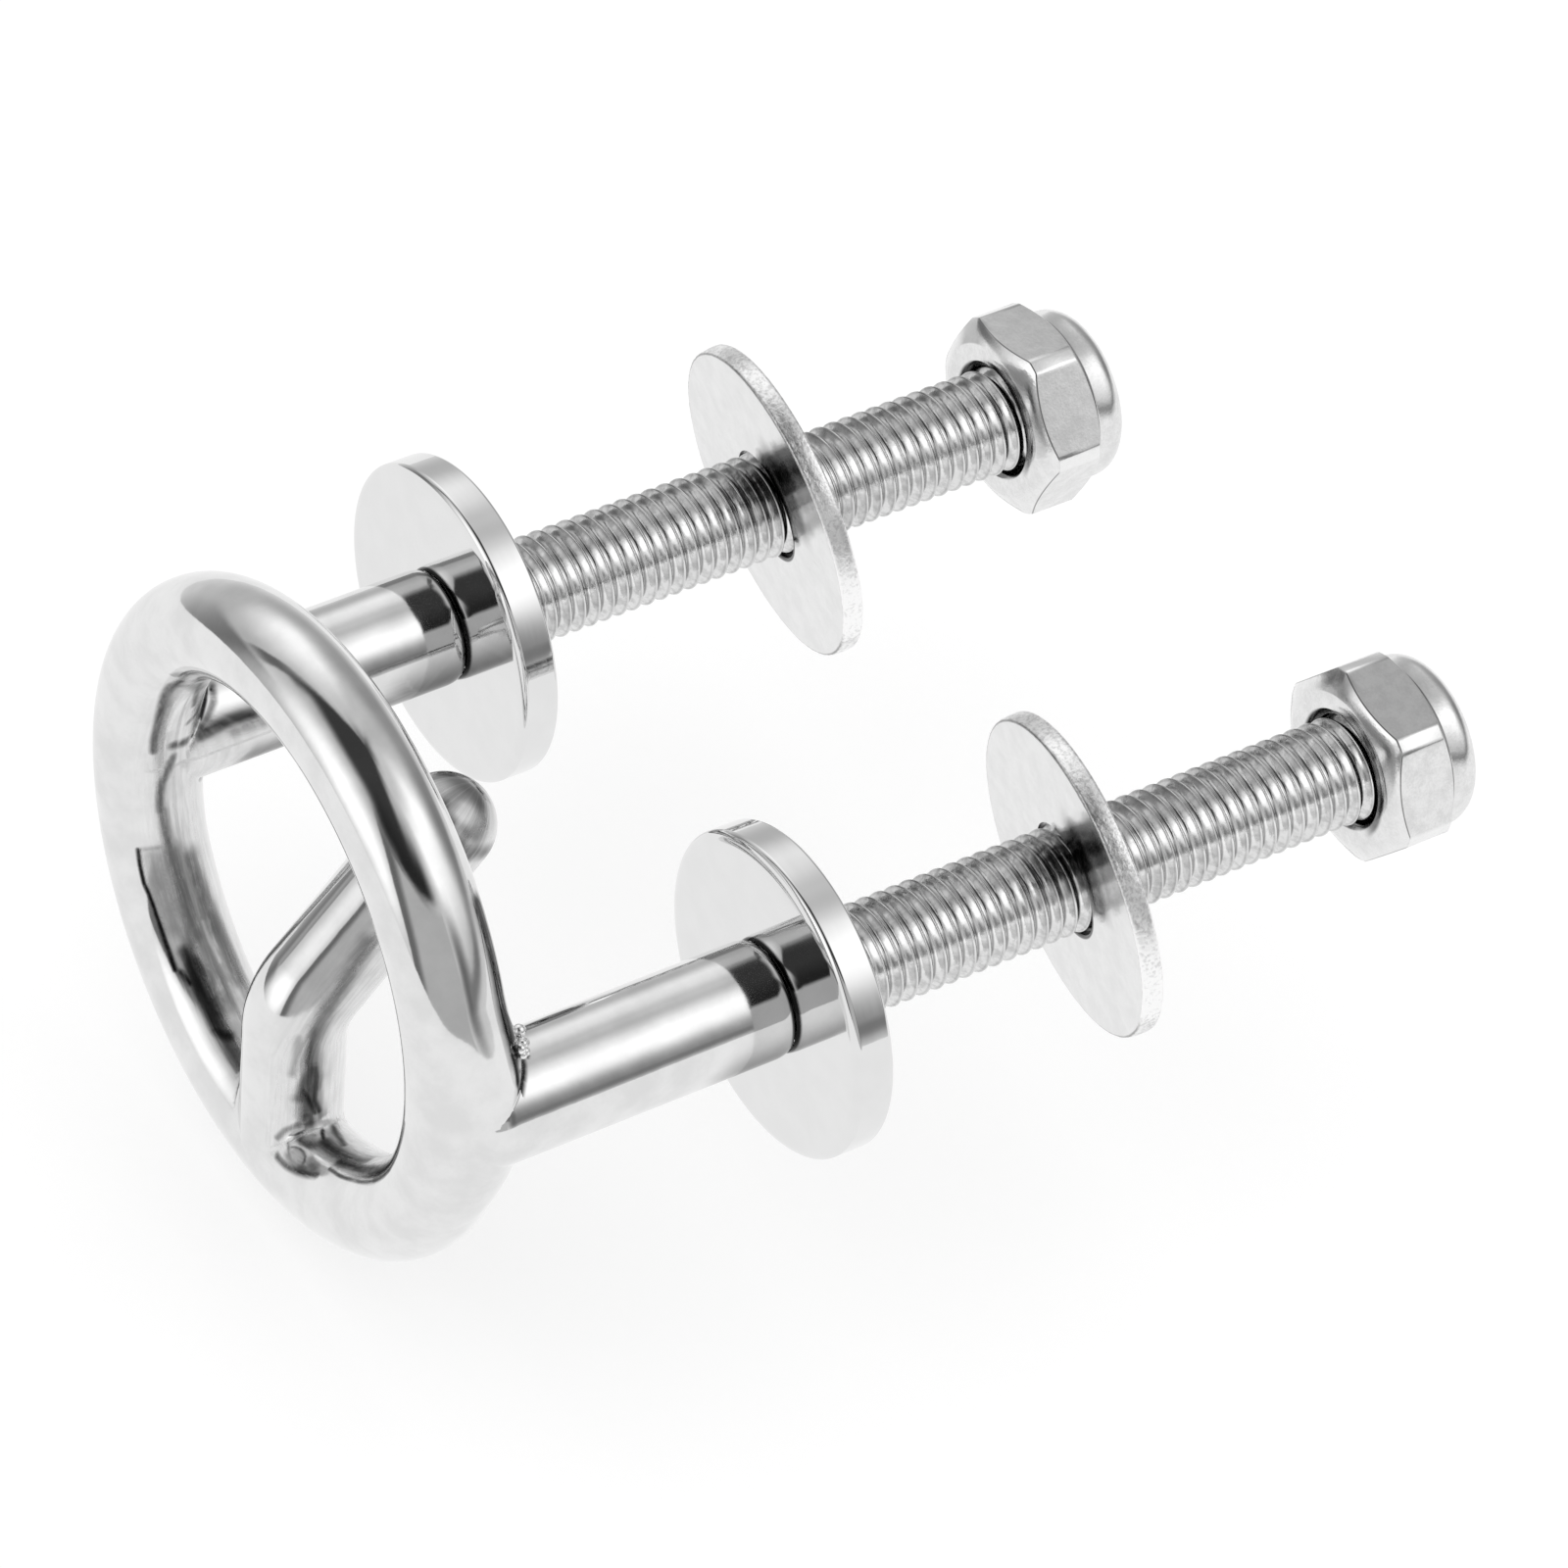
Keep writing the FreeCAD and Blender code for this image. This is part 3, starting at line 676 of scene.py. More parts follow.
def bar_grain(points):
    """Millimetres along and around the nearest bar, which the brushed streaks follow."""
    local = points - RING_CENTRE
    outwards = np.hypot(local[:, 0], local[:, 2]) - RING_RADIUS
    clock = np.arctan2(local[:, 2], local[:, 0])
    ring = np.stack([RING_RADIUS * clock, RING_BAR * np.arctan2(-local[:, 1], outwards)], axis=1)
    foot = hook_foot(points)
    away = points - foot
    around = np.arctan2(away[:, 2] - away[:, 1], away[:, 0])
    hook = np.stack([foot[:, 2] + foot[:, 1], HOOK_BAR * around], axis=1)
    on_hook_bar = np.linalg.norm(away, axis=1) < np.hypot(outwards, local[:, 1])
    grain = np.where(on_hook_bar[:, None], hook + HOOK_GRAIN, ring)
    return np.column_stack([grain, np.zeros(len(points))])


# %% Painting the skin
NARROW = 0.6
NARROW_SKIRT = 0.3


def paint(mesh, name, values):
    """Store one number or vector per vertex."""
    kind, field = ("FLOAT_VECTOR", "vector") if values.ndim == 2 else ("FLOAT", "value")
    layer = mesh.attributes.new(name, kind, "POINT")
    layer.data.foreach_set(field, values.astype(np.float32).ravel())


def polish(mesh, points):
    """Give every vertex the exact normal of the body's surface."""
    normals = slope(points)
    normals /= np.linalg.norm(normals, axis=1)[:, None]
    for polygon in mesh.polygons:
        polygon.use_smooth = True
    mesh.normals_split_custom_set_from_vertices(normals.astype(np.float32).tolist())


thin = [stroke for stroke in STAINS_AND_SHADE + GLINTS if stroke[2] < NARROW]
skirts = [(place, stops, width + NARROW_SKIRT, 1.0) for place, stops, width, _ in thin]
refine(tow_ring.data, stroke_share(body_points, skirts)[:, 0] > 0)
body_points = settle(tow_ring.data, rounds=1)
polish(tow_ring.data, body_points)
# the stain strokes carry stains together with painted shade and painted reflections, the glints are painted
# highlights, and the crease is painted shade along the fold
for layer_name, marks in (("stain_and_shade", STAINS_AND_SHADE), ("glint", GLINTS), ("ground", GROUND)):
    paint(tow_ring.data, layer_name, stroke_share(body_points, marks))
paint(tow_ring.data, "crease_shade", crease_shade_share(body_points))
paint(tow_ring.data, "grain", bar_grain(body_points))
print("painted", len(body_points), "vertices,", len(thin), "of the strokes are thin")

# %% [markdown]
# ## The weld beads
#
# Over the near shank the welder left a few round drops where no grinder reaches.
# They could be bumps in the finish, but real drops catch the light and cast a
# shadow, so they are small balls, sunk a little into the skin.

# %% Weld beads
BEAD_STEPS = 4
BEADS = [
    # clock and around on the ring, then how far off the skin and the radius
    (13.6, 281, 0.45, 0.62), (12.2, 290, 0.40, 0.56), (13.3, 300, 0.40, 0.46),
    (13.8, 312, 0.35, 0.50), (11.8, 300, 0.40, 0.46), (12.6, 311, 0.35, 0.44),
]


def weld_beads():
    """The drops of weld that the grinder could not reach, over the near shank."""
    work = bmesh.new()
    for clock, around, lift, radius in BEADS:
        place = onto_skin(on_ring(clock, around)[None])
        place = place[0] + lift * slope(place)[0]
        spot = Matrix.Translation(Vector(place) * MM)
        bmesh.ops.create_icosphere(work, subdivisions=BEAD_STEPS, radius=radius * MM, matrix=spot)
    return new_piece(finished_mesh("weld_beads", work), "tow_hook")


beads = weld_beads()

# %% [markdown]
# ## The threaded studs
#
# A metric thread is one groove that climbs 1.5 mm a turn. Spinning a profile would
# give separate rings, which look wrong at the ends and in the highlights. Here each
# line of vertices climbs with the thread, so crests and roots are exact helices, and
# the stud is then sawn off square at both ends. Painted shade on its upper and lower
# sides and next to the washer, and a painted highlight on its front, are numbers on
# the vertices, where the thread's own finish finds them.

# %% Stud thread
PITCH = 1.5
ROOT_RADIUS = 4.08
CREST_HALF = 0.06
CREST_ROUND = 0.02
VALLEY_CURVE = 1.75
THREAD_STEPS = 96
STUD_START = -4.2
STUD_END = 62.0
STUD_POINT = 1.0


def thread_section():
    """One pitch of the thread as (along, radius), from crest to crest: a narrow crest, a round valley."""
    depth = STUD_RADIUS - ROOT_RADIUS - CREST_ROUND
    wide = PITCH / 2 - CREST_HALF
    half = [(0, STUD_RADIUS), (CREST_HALF, STUD_RADIUS - CREST_ROUND)]
    for share in (0.93, 0.82, 0.68, 0.52, 0.35, 0.17):
        half.append((PITCH / 2 - share * wide, ROOT_RADIUS + depth * share ** VALLEY_CURVE))
    other = [(PITCH - across, radius) for across, radius in half[1:]]
    return half + [(PITCH / 2, ROOT_RADIUS)] + other[::-1]


def thread_mesh(name, side):
    """Helical skin of a stud, a little longer than the stud at both ends."""
    section = thread_section()
    first = math.floor((STUD_START - 2 * PITCH) / PITCH)
    last = math.ceil((STUD_END + 2 * PITCH) / PITCH)
    turn = np.arange(THREAD_STEPS) / THREAD_STEPS
    rows = []
    for number in range(first, last):
        for across, radius in section:
            along = (number - turn) * PITCH + across
            wide = np.minimum(radius, STUD_RADIUS - STUD_POINT + np.maximum(STUD_END - along, 0))
            x = side + wide * np.cos(turn * 2 * math.pi)
            rows.append(np.stack([x, along, wide * np.sin(turn * 2 * math.pi)], axis=1))
    faces = []
    for row in range(len(rows) - 1):
        for column in range(THREAD_STEPS):
            climb = len(section) if column == THREAD_STEPS - 1 else 0
            beside = (row - climb) * THREAD_STEPS + (column + 1) % THREAD_STEPS
            here = row * THREAD_STEPS + column
            if beside >= 0:
                faces.append((here, here + THREAD_STEPS, beside + THREAD_STEPS, beside))
    return new_mesh(name, np.concatenate(rows), faces)


# %% Ends of the studs
SAW_GAP = 1e-7
RIM_GAP = 0.01
STUD_GAP = 0.002


def saw_ends(piece):
    """Saw the stud off square at both ends and close the cuts."""
    work = bmesh.new()
    work.from_mesh(piece.data)
    for end, way in ((STUD_START, -1), (STUD_END, 1)):
        whole = list(work.verts) + list(work.edges) + list(work.faces)
        plane = {"plane_co": (0, end * MM, 0), "plane_no": (0, way, 0)}
        bmesh.ops.bisect_plane(work, geom=whole, dist=SAW_GAP, clear_outer=True, **plane)
        borders = [edge for edge in work.edges if edge.is_boundary]
        rim = [edge for edge in borders if abs(edge.verts[0].co.y / MM - end) < RIM_GAP]
        bmesh.ops.holes_fill(work, edges=rim, sides=0)
    bmesh.ops.remove_doubles(work, verts=work.verts, dist=STUD_GAP * MM)
    bmesh.ops.recalc_face_normals(work, faces=work.faces)
    open_edges = sum(1 for edge in work.edges if not edge.is_manifold)
    work.to_mesh(piece.data)
    work.free()
    print(piece.name, "closed, edges that are not manifold:", open_edges)


# %% Painted shade and highlight on the studs
# where the painted shade next to each washer lies, and how dark the painted shade is on the upper side, next
# to the washer and on the lower side
WASHER_SHADE_AT = {"left": 30.5, "right": 27.0}
UPPER_SHADE = 0.4
WASHER_SHADE_LEVEL = 0.85
LOWER_SHADE = 0.16


def between_edges(values, start, rise, end, fall):
    """One between two edges: the first rises from start, the second falls to nought at end."""
    return np.clip((values - start) / rise, 0, 1) * np.clip((end - values) / fall, 0, 1)


def shade_and_highlight_stud(piece, side, washer_shade_at):
    """Paint shade on the upper and lower sides of a thread and next to the washer, and a highlight on its
    front.
    """
    points = read_points(piece.data)
    turn = np.degrees(np.arctan2(points[:, 2], points[:, 0] - side))
    near = between_edges(points[:, 1], washer_shade_at - 6.5, 4.5, washer_shade_at + 1.5, 0.8)
    upper = UPPER_SHADE * between_edges(turn, 80, 30, 170, 30)
    washer_shade = WASHER_SHADE_LEVEL * near * between_edges(turn, 45, 25, 125, 30)
    lower = LOWER_SHADE * between_edges(turn, -90, 30, 8, 14)
    paint(piece.data, "shade", np.maximum(upper, washer_shade) + lower)
    paint(piece.data, "front_highlight", between_edges(turn, 14, 14, 72, 22) * (1 - near))


def threaded_stud(side_name, side):
    """Stud with its thread, sawn ends, painted shade and a painted highlight."""
    piece = new_piece(thread_mesh("threaded_stud_" + side_name, side), "tow_hook")
    saw_ends(piece)
    shade_and_highlight_stud(piece, side, WASHER_SHADE_AT[side_name])
    return piece


studs = on_both_sides(threaded_stud)

# %% [markdown]
# ## The cover washers
#
# The thick cover washers are machined and polished, so their flat faces are true
# mirrors and their edges are finely rounded. A bevel would do, but a turned profile
# gives the rim a different rounding on each side and keeps the faces flat.

# %% Cover washers
COVER_RADIUS = 15.0
COVER_THICK = 3.6
COVER_EDGE = 0.6
COVER_ROLL = 1.15
COVER_BORE = STUD_RADIUS + 0.15
COVER_BORE_EDGE = 0.12
COVER_STEPS = 256
FRONT_SHARE = 0.6


def rounded_ring(bore, rim, edge, bore_edge, roll):
    """Closed profile of a washer, from its (radius, back) to its (radius, front), with rounded edges."""
    inner, back = bore
    outer, front = rim
    fine = FRONT_SHARE * edge
    profile = arc((outer - fine, front - fine), fine, 90, 0, 5)
    profile += arc((outer - roll, back + edge), roll, 0, -90, 9, high=edge)
    profile += arc((inner + bore_edge, back + bore_edge), bore_edge, -90, -180, 2)
    profile += arc((inner + bore_edge, front - bore_edge), bore_edge, 180, 90, 2)
    return profile


def cover_washer(side_name, side):
    """Thick polished washer against the shank's shoulder."""
    bore = (COVER_BORE, -COVER_THICK)
    profile = rounded_ring(bore, (COVER_RADIUS, 0.0), COVER_EDGE, COVER_BORE_EDGE, COVER_ROLL)
    vertices, faces = turned(profile, COVER_STEPS)
    vertices[:, 0] += side
    piece = new_piece(new_mesh("mirror_washer_" + side_name, vertices, faces), "cover_washer_" + side_name)
    clean(piece)
    return piece


cover_washers = on_both_sides(cover_washer)

# %% [markdown]
# ## The backing washers
#
# The thin backing washers are punched: the rim has a smooth rolled lip on the punch
# side and a torn, slightly tapered lower half. They hang loose on the threads and
# lean towards the ring. For each lean, the drop is worked out from the hole, so that
# its edge rests on the thread as it does on the real stud.

# %% Backing washers
BACKING_RADIUS = 15.0
BACKING_THICK = 2.0
BACKING_BORE = 5.25
BACKING_REST = 0.02
BACKING_STEPS = 288
TORN_BAND = 0.5
TORN_DEEP = 0.05
RIM_BAND = 0.3
LEAN = {
    "left": {"place": 31.1, "tilt": 10.6, "side": 24.0, "seed": 11},
    "right": {"place": 27.4, "tilt": 10.2, "side": 37.0, "seed": 12},
}


def lean_on_stud(side, lean):
    """Matrix that hangs a washer on its stud at its given tilt, dropped until its hole meets the thread."""
    tilt = math.radians(lean["tilt"])
    way = math.radians(lean["side"])
    hole = 2 * BACKING_BORE * math.cos(tilt) - BACKING_THICK * math.sin(tilt)
    drop = -(hole / 2 - STUD_RADIUS - BACKING_REST)
    place = Vector((side, lean["place"] + BACKING_THICK / 2, drop))
    axis = Vector((math.cos(way), 0, -math.sin(way)))
    return Matrix.Translation(place) @ Matrix.Rotation(tilt, 4, axis)


def punched_ring():
    """Profile of a punched washer: rolled lip, shiny band, then a rough band that tapers in."""
    half = BACKING_THICK / 2
    profile = arc((BACKING_RADIUS - 0.35, half - 0.35), 0.35, 90, 0, 4)
    profile += [(BACKING_RADIUS, 0.1), (BACKING_RADIUS - 0.02, -0.25), (BACKING_RADIUS - 0.07, -0.55)]
    profile += arc((BACKING_RADIUS - 0.37, -half + 0.3), 0.3, 0, -90, 3)
    profile += arc((BACKING_BORE + 0.15, -half + 0.15), 0.15, -90, -180, 2)
    profile += [(BACKING_BORE + 0.03, -0.3), (BACKING_BORE, 0.1)]
    profile += arc((BACKING_BORE + 0.2, half - 0.2), 0.2, 180, 90, 2)
    return profile


def backing_washer(side_name, side):
    """Thin punched washer with a rim that is torn a few hundredths on one side."""
    local, faces = turned(punched_ring(), BACKING_STEPS)
    chance = np.random.default_rng(LEAN[side_name]["seed"])
    across = np.hypot(local[:, 0], local[:, 2])
    torn = (across > BACKING_RADIUS - TORN_BAND) & (local[:, 1] < 0.0)
    nick = chance.uniform(0.0, TORN_DEEP, len(local)) * torn
    local *= (1 - nick / np.maximum(across, 1))[:, None] ** np.array([1, 0, 1])
    mesh = new_mesh("punched_washer_" + side_name, moved(local, lean_on_stud(side, LEAN[side_name])), faces)
    piece = new_piece(mesh, "backing_washer_" + side_name)
    paint(piece.data, "rim", (across > BACKING_RADIUS - RIM_BAND).astype(float))
    paint(piece.data, "local", local)
    clean(piece)
    return piece


backing_washers = on_both_sides(backing_washer)

# %% [markdown]
# ## The lock nuts
#
# A lock nut is a hexagon whose corners were turned off by a cone, so each flat ends
# in a curved edge, with a round collar crimped over a nylon ring. The outline of the
# hexagon and of the cones is known at any angle, so the nut is one grid around the
# axis, with its rows laid exactly along the curves where cone and flats meet.

# %% Nut sizes
NUT_FLAT = 8.5
NUT_CORNER = 9.45
NUT_HEIGHT = 9.9
NUT_HEX = 6.5
NUT_FACE = 7.4
NUT_SLOPE = math.tan(math.radians(30))
NUT_SOFT = 0.1
NUT_COLLAR = 8.0
NUT_COLLAR_ROUND = 1.9
NUT_COLLAR_FOOT = 0.22
NUT_MOUTH = 5.8
NUT_MOUTH_ROUND = 0.25
NUT_LIP = 0.6
NUT_COUNTERSINK = 5.75
NUT_SINK_DEEP = 0.7
NUT_BORE = STUD_RADIUS + 0.1
NUT_STEPS = 288
SEXTANT = math.pi / 3
GRIP = {
    "left": {"place": 55.6, "turn": -6.0},
    "right": {"place": 56.7, "turn": 11.4},
}
INSERT_OUTER = 6.4
INSERT_BORE = 4.6
INSERT_PLAY = 0.05
INSERT_EDGE = 0.15
INSERT_BORE_EDGE = 0.25
INSERT_STEPS = 128


# %% Nut outline
def off_corner(turn):
    """Angle from the nearest corner of the hexagon."""
    return np.abs((turn + SEXTANT / 2) % SEXTANT - SEXTANT / 2)


def nut_rows(turn):
    """Rows of (radius, along) round the nut, from the bore's mouth over the outside and back in."""
    reach = np.minimum(NUT_FLAT / np.cos(SEXTANT / 2 - off_corner(turn)), NUT_CORNER)
    low = (reach - NUT_FACE) * NUT_SLOPE
    high = NUT_HEX - (reach - NUT_COLLAR) * NUT_SLOPE
    rows = [
        (NUT_BORE + 0.02, NUT_SINK_DEEP),
        (NUT_COUNTERSINK - 0.05, 0.06),
        (NUT_COUNTERSINK + 0.03, 0.0),
        (NUT_FACE - 0.12, 0.0),
        (NUT_FACE + 0.03, 0.035),
        (reach - NUT_SOFT, low - NUT_SOFT * NUT_SLOPE),
        (reach - NUT_SOFT * 0.25, low + NUT_SOFT * 0.25),
        (reach, low + NUT_SOFT),
        (reach, (low + high) / 2),
        (reach, high - NUT_SOFT),
        (reach - NUT_SOFT * 0.25, high - NUT_SOFT * 0.25),
        (reach - NUT_SOFT, high + NUT_SOFT * NUT_SLOPE),
    ]
    foot = (NUT_COLLAR + NUT_COLLAR_FOOT, NUT_HEX + NUT_COLLAR_FOOT)
    rows += arc(foot, NUT_COLLAR_FOOT, 270, 180, 3)
    centre = (NUT_COLLAR - NUT_COLLAR_ROUND, NUT_HEIGHT - NUT_COLLAR_ROUND)
    rows += arc(centre, NUT_COLLAR_ROUND, 0, 84, 12)
    mouth = (NUT_MOUTH + NUT_MOUTH_ROUND, NUT_HEIGHT - NUT_MOUTH_ROUND)
    rows += arc(mouth, NUT_MOUTH_ROUND, 90, 180, 4)
    rows += [
        (NUT_MOUTH, NUT_HEIGHT - NUT_LIP),
        (INSERT_OUTER + INSERT_PLAY, NUT_HEIGHT - NUT_LIP),
        (INSERT_OUTER + INSERT_PLAY, NUT_HEX),
        (NUT_BORE, NUT_HEX),
    ]
    return rows


# %% Painted shade on the arrises, flats and painted highlights on the corners
CORNER_TURN = math.radians(4.6)
CORNER_FADE = math.radians(1.2)
# rows that are painted darker as painted shade, along the arrises and the collar's foot, and how much
ARRIS_ROWS = {6: 1.0, 11: 0.4, 12: 1.0, 13: 0.8}
FLAT_ROWS = slice(7, 10)
LOW_ARRIS = 6
CONE_ROW = 5
# how much painted highlight the corners and the chamfer's edge get
CORNER_BRIGHT = 0.7
CONE_BRIGHT = 0.35


def nut_marks(turn, count):
    """Shares of painted shade on the arrises, of flat and of painted highlight at the corners, at every
    vertex, row by row.
    """
    corner = np.clip((CORNER_TURN - off_corner(turn)) / CORNER_FADE, 0, 1)
    arris, flat, bright = np.zeros((3, count, len(turn)))
    for row, share in ARRIS_ROWS.items():
        arris[row] = share
    arris[LOW_ARRIS] *= 1 - corner
    flat[FLAT_ROWS] = 1 - corner
    bright[FLAT_ROWS] = CORNER_BRIGHT * corner
    bright[CONE_ROW] = CONE_BRIGHT
    return {"arris": arris.ravel(), "flat": flat.ravel(), "corner": bright.ravel()}


# %% Lock nuts and nylon rings
def grip_matrix(side_name, side):
    """Place and turn of a nut on its stud."""
    grip = GRIP[side_name]
    turn = Matrix.Rotation(math.radians(grip["turn"]), 4, "Y")
    return Matrix.Translation(Vector((side, grip["place"], 0))) @ turn


def lock_nut(side_name, side):
    """Lock nut about the Y axis, bearing face towards the ring."""
    turn = full_turn(NUT_STEPS)
    rows = nut_rows(turn)
    local, faces = turned(rows, NUT_STEPS)
    vertices = moved(local, grip_matrix(side_name, side))
    piece = new_piece(new_mesh("lock_nut_body_" + side_name, vertices, faces), "lock_nut_" + side_name)
    paint(piece.data, "local", local)
    for layer_name, share in nut_marks(turn, len(rows)).items():
        paint(piece.data, layer_name, share)
    clean(piece)
    return piece


def nylon_ring(side_name, side):
    """Nylon ring that shows inside the crimped lip."""
    bore = (INSERT_BORE, NUT_HEX + INSERT_PLAY)
    rim = (INSERT_OUTER, NUT_HEIGHT - NUT_LIP - INSERT_PLAY)
    profile = rounded_ring(bore, rim, INSERT_EDGE, INSERT_BORE_EDGE, INSERT_EDGE)
    local, faces = turned(profile, INSERT_STEPS)
    vertices = moved(local, grip_matrix(side_name, side))
    piece = new_piece(new_mesh("nylon_ring_" + side_name, vertices, faces), "nylon_insert_" + side_name)
    clean(piece)
    return piece


lock_nuts = on_both_sides(lock_nut)
nylon_rings = on_both_sides(nylon_ring)

# %% [markdown]
# ## Sums inside a shader
#
# Light and finishes are sums on numbers: a panel is bright between two angles, steel
# is darker near a stain. Nodes could be placed one by one in the editor, but a few
# helpers that make a node and hand on its output read like plain arithmetic.

# %% Shader arithmetic
def is_socket(source):
    """Whether a source is a socket, and not a number."""
    return isinstance(source, bpy.types.NodeSocket)


def feed(socket, source):
    """Set a socket to a number, or link another socket to it."""
    if is_socket(source):
        socket.id_data.links.new(source, socket)
    else:
        socket.default_value = source


def sums(operation, *sources):
    """Math node fed by sockets or numbers; returns its output."""
    tree = next(source.id_data for source in sources if is_socket(source))
    node = tree.nodes.new("ShaderNodeMath")
    node.operation = operation
    for socket, source in zip(node.inputs, sources):
        feed(socket, source)
    return node.outputs[0]


def times(first, *others):
    """Product of sockets and numbers."""
    for other in others:
        first = sums("MULTIPLY", first, other)
    return first


def rest(source):
    """What a share leaves of one."""
    return sums("SUBTRACT", 1.0, source)


def ramp(source, start, end, low=0.0, high=1.0):
    """Smooth step from low to high as a value goes from start to end."""
    node = source.id_data.nodes.new("ShaderNodeMapRange")
    node.interpolation_type = "SMOOTHSTEP"
    feed(node.inputs["Value"], source)
    for name, number in (("From Min", start), ("From Max", end), ("To Min", low), ("To Max", high)):
        node.inputs[name].default_value = number
    return node.outputs["Result"]


def window(source, rise, top, fall, end, high=1.0):
    """Up to high between two soft edges, and nought outside them."""
    return times(ramp(source, rise, top), ramp(source, fall, end, high, 0.0))


def between(share, first, second):
    """Number between two, by a share."""
    node = share.id_data.nodes.new("ShaderNodeMix")
    node.data_type = "FLOAT"
    for socket, source in zip((node.inputs[0], node.inputs[2], node.inputs[3]), (share, first, second)):
        feed(socket, source)
    return node.outputs[0]


def split(vector):
    """The three parts of a vector."""
    node = vector.id_data.nodes.new("ShaderNodeSeparateXYZ")
    feed(node.inputs[0], vector)
    return node.outputs


# %% [markdown]
# ## The studio
#
# Polished steel has no look of its own: it shows the room. The room was read back
# from the highlights on the ring and the shanks: a white table below, one softbox
# straight ahead, one low on the left and a large one behind the nuts, with a dark
# ceiling, a grey card and the dark gaps between them. Real lamps would do, but
# soft-edged panels painted into the world by compass direction are exact, free of
# noise and the same from every side.

# %% World
STEEL_LEVEL = 0.8
TABLE = 0.887
GAMMA = 2.2
# name, (middle, west, east, low, high), (soft west, east, low, high), brightness
PANELS = [
    ("wall", (0, -200, 200, -3, 200), (5, 5, 40, 5), 0.64),
    ("zenith", (0, -200, 200, 78, 200), (5, 5, 16, 5), 0.20),
    ("left_glow", (-105, -63, 46, 15, 87), (37, 31, 34, 25), 0.74),
    ("left_softbox", (-105, -26, 31, 28, 64), (33, 66, 23, 29), 0.97),
    ("left_corner", (-160, -55, 26, 7, 41), (23, 51, 17, 32), 0.55),
    ("back_glow", (130, -45, 58, 12, 84), (38, 34, 11, 18), 0.76),
    ("back_softbox", (132, -28, 35, 28, 63), (21, 30, 38, 23), 1.03),
    ("gap_a", (106, -7, 10, -3, 27), (12, 20, 12, 28), 0.40),
    ("gap_b", (132, -22, 22, 1, 8), (3, 21, 6, 5), 0.45),
    ("gap_c", (172, -12, 21, 4, 29), (35, 31, 9, 31), 0.47),
    ("ceiling", (5, -56, 60, 36.5, 200), (13, 22, 11, 5), 0.23),
    ("dark_ceiling", (55, -34, 30, 38, 55), (13, 25, 4, 27), 0.16),
    ("front_glow", (-12, -30, 27, -17, 50), (12, 15, 13, 15), 0.58),
    ("front_softbox", (-6, -31, 20, -8.5, 36.5), (54, 32, 42, 48), 1.08),
    ("post", (20, -6, 16, -17, 40), (3, 10, 11, 15), 0.39),
    ("card", (58, -32.5, 36, -15.5, 34), (12, 3, 15, 3), 0.66),
    ("slit", (-50, -4.5, 3.5, 17, 41), (3, 3, 18, 19), 0.37),
    ("stand", (-55, -15, 10, -10.5, 12), (45, 22, 5, 8), 0.40),
]


def soft_band(value, low, high, soft_low, soft_high):
    """One between two edges of their own softness."""
    edges = (low - soft_low / 2, low + soft_low / 2, high - soft_high / 2, high + soft_high / 2)
    return window(value, *edges)


def studio_world():
    """World whose light comes from soft-edged panels placed by compass angle and height."""
    world = bpy.data.worlds.new("studio")
    world.use_nodes = True
    tree = world.node_tree
    x, y, z = split(tree.nodes.new("ShaderNodeTexCoord").outputs["Generated"])
    compass = sums("DEGREES", sums("ARCTAN2", x, times(y, -1.0)))
    height = sums("DEGREES", sums("ARCSINE", z))
    light = TABLE
    for _, (middle, west, east, low, high), soft, level in PANELS:
        turn = sums("WRAP", sums("SUBTRACT", compass, middle), 180.0, -180.0)
        cover = times(soft_band(turn, west, east, *soft[:2]), soft_band(height, low, high, *soft[2:]))
        light = between(cover, light, level)
    shown = sums("DIVIDE", sums("POWER", light, GAMMA), STEEL_LEVEL)
    path = tree.nodes.new("ShaderNodeLightPath")
    for ray in ("Is Diffuse Ray", "Is Camera Ray"):
        shown = between(path.outputs[ray], shown, 1.0)
    background = tree.nodes["Background"]
    feed(background.inputs["Strength"], shown)
    background.inputs["Color"].default_value = (1, 1, 1, 1)
    bpy.context.scene.world = world
    world.cycles.sampling_method = "NONE"
    print("studio panels:", [name for name, *_ in PANELS])


studio_world()
bpy.context.scene.view_settings.view_transform = "Standard"

# %% [markdown]
# ## The table
#
# The part floats a little above a white table, just as it does when it hangs from a
# transom. For the camera it is matt grey with a glow of its own, which adds up to
# white and takes only a faint shadow. The steel sees the same even white that the
# studio has below.

# %% Table top
TABLE_DROP = -32.0
TABLE_RADIUS = 420.0
TABLE_GREY = 0.5
TABLE_GLOW = 0.56


def emission(tree, strength):
    """Output of an even white light."""
    glow = tree.nodes.new("ShaderNodeEmission")
    glow.inputs["Strength"].default_value = strength
    return glow.outputs[0]


def white_table_top():
    """Material of the table: matt and glowing to the camera, an even white to the steel."""
    material = bpy.data.materials.new("white_table")
    material.use_nodes = True
    tree = material.node_tree
    tree.nodes.clear()
    matt = tree.nodes.new("ShaderNodeBsdfDiffuse")
    matt.inputs["Color"].default_value = (TABLE_GREY, TABLE_GREY, TABLE_GREY, 1)
    both = tree.nodes.new("ShaderNodeAddShader")
    feed(both.inputs[0], matt.outputs[0])
    feed(both.inputs[1], emission(tree, TABLE_GLOW))
    pick = tree.nodes.new("ShaderNodeMixShader")
    feed(pick.inputs[0], tree.nodes.new("ShaderNodeLightPath").outputs["Is Camera Ray"])
    feed(pick.inputs[1], emission(tree, TABLE ** GAMMA / STEEL_LEVEL))
    feed(pick.inputs[2], both.outputs[0])
    feed(tree.nodes.new("ShaderNodeOutputMaterial").inputs["Surface"], pick.outputs[0])
    return material


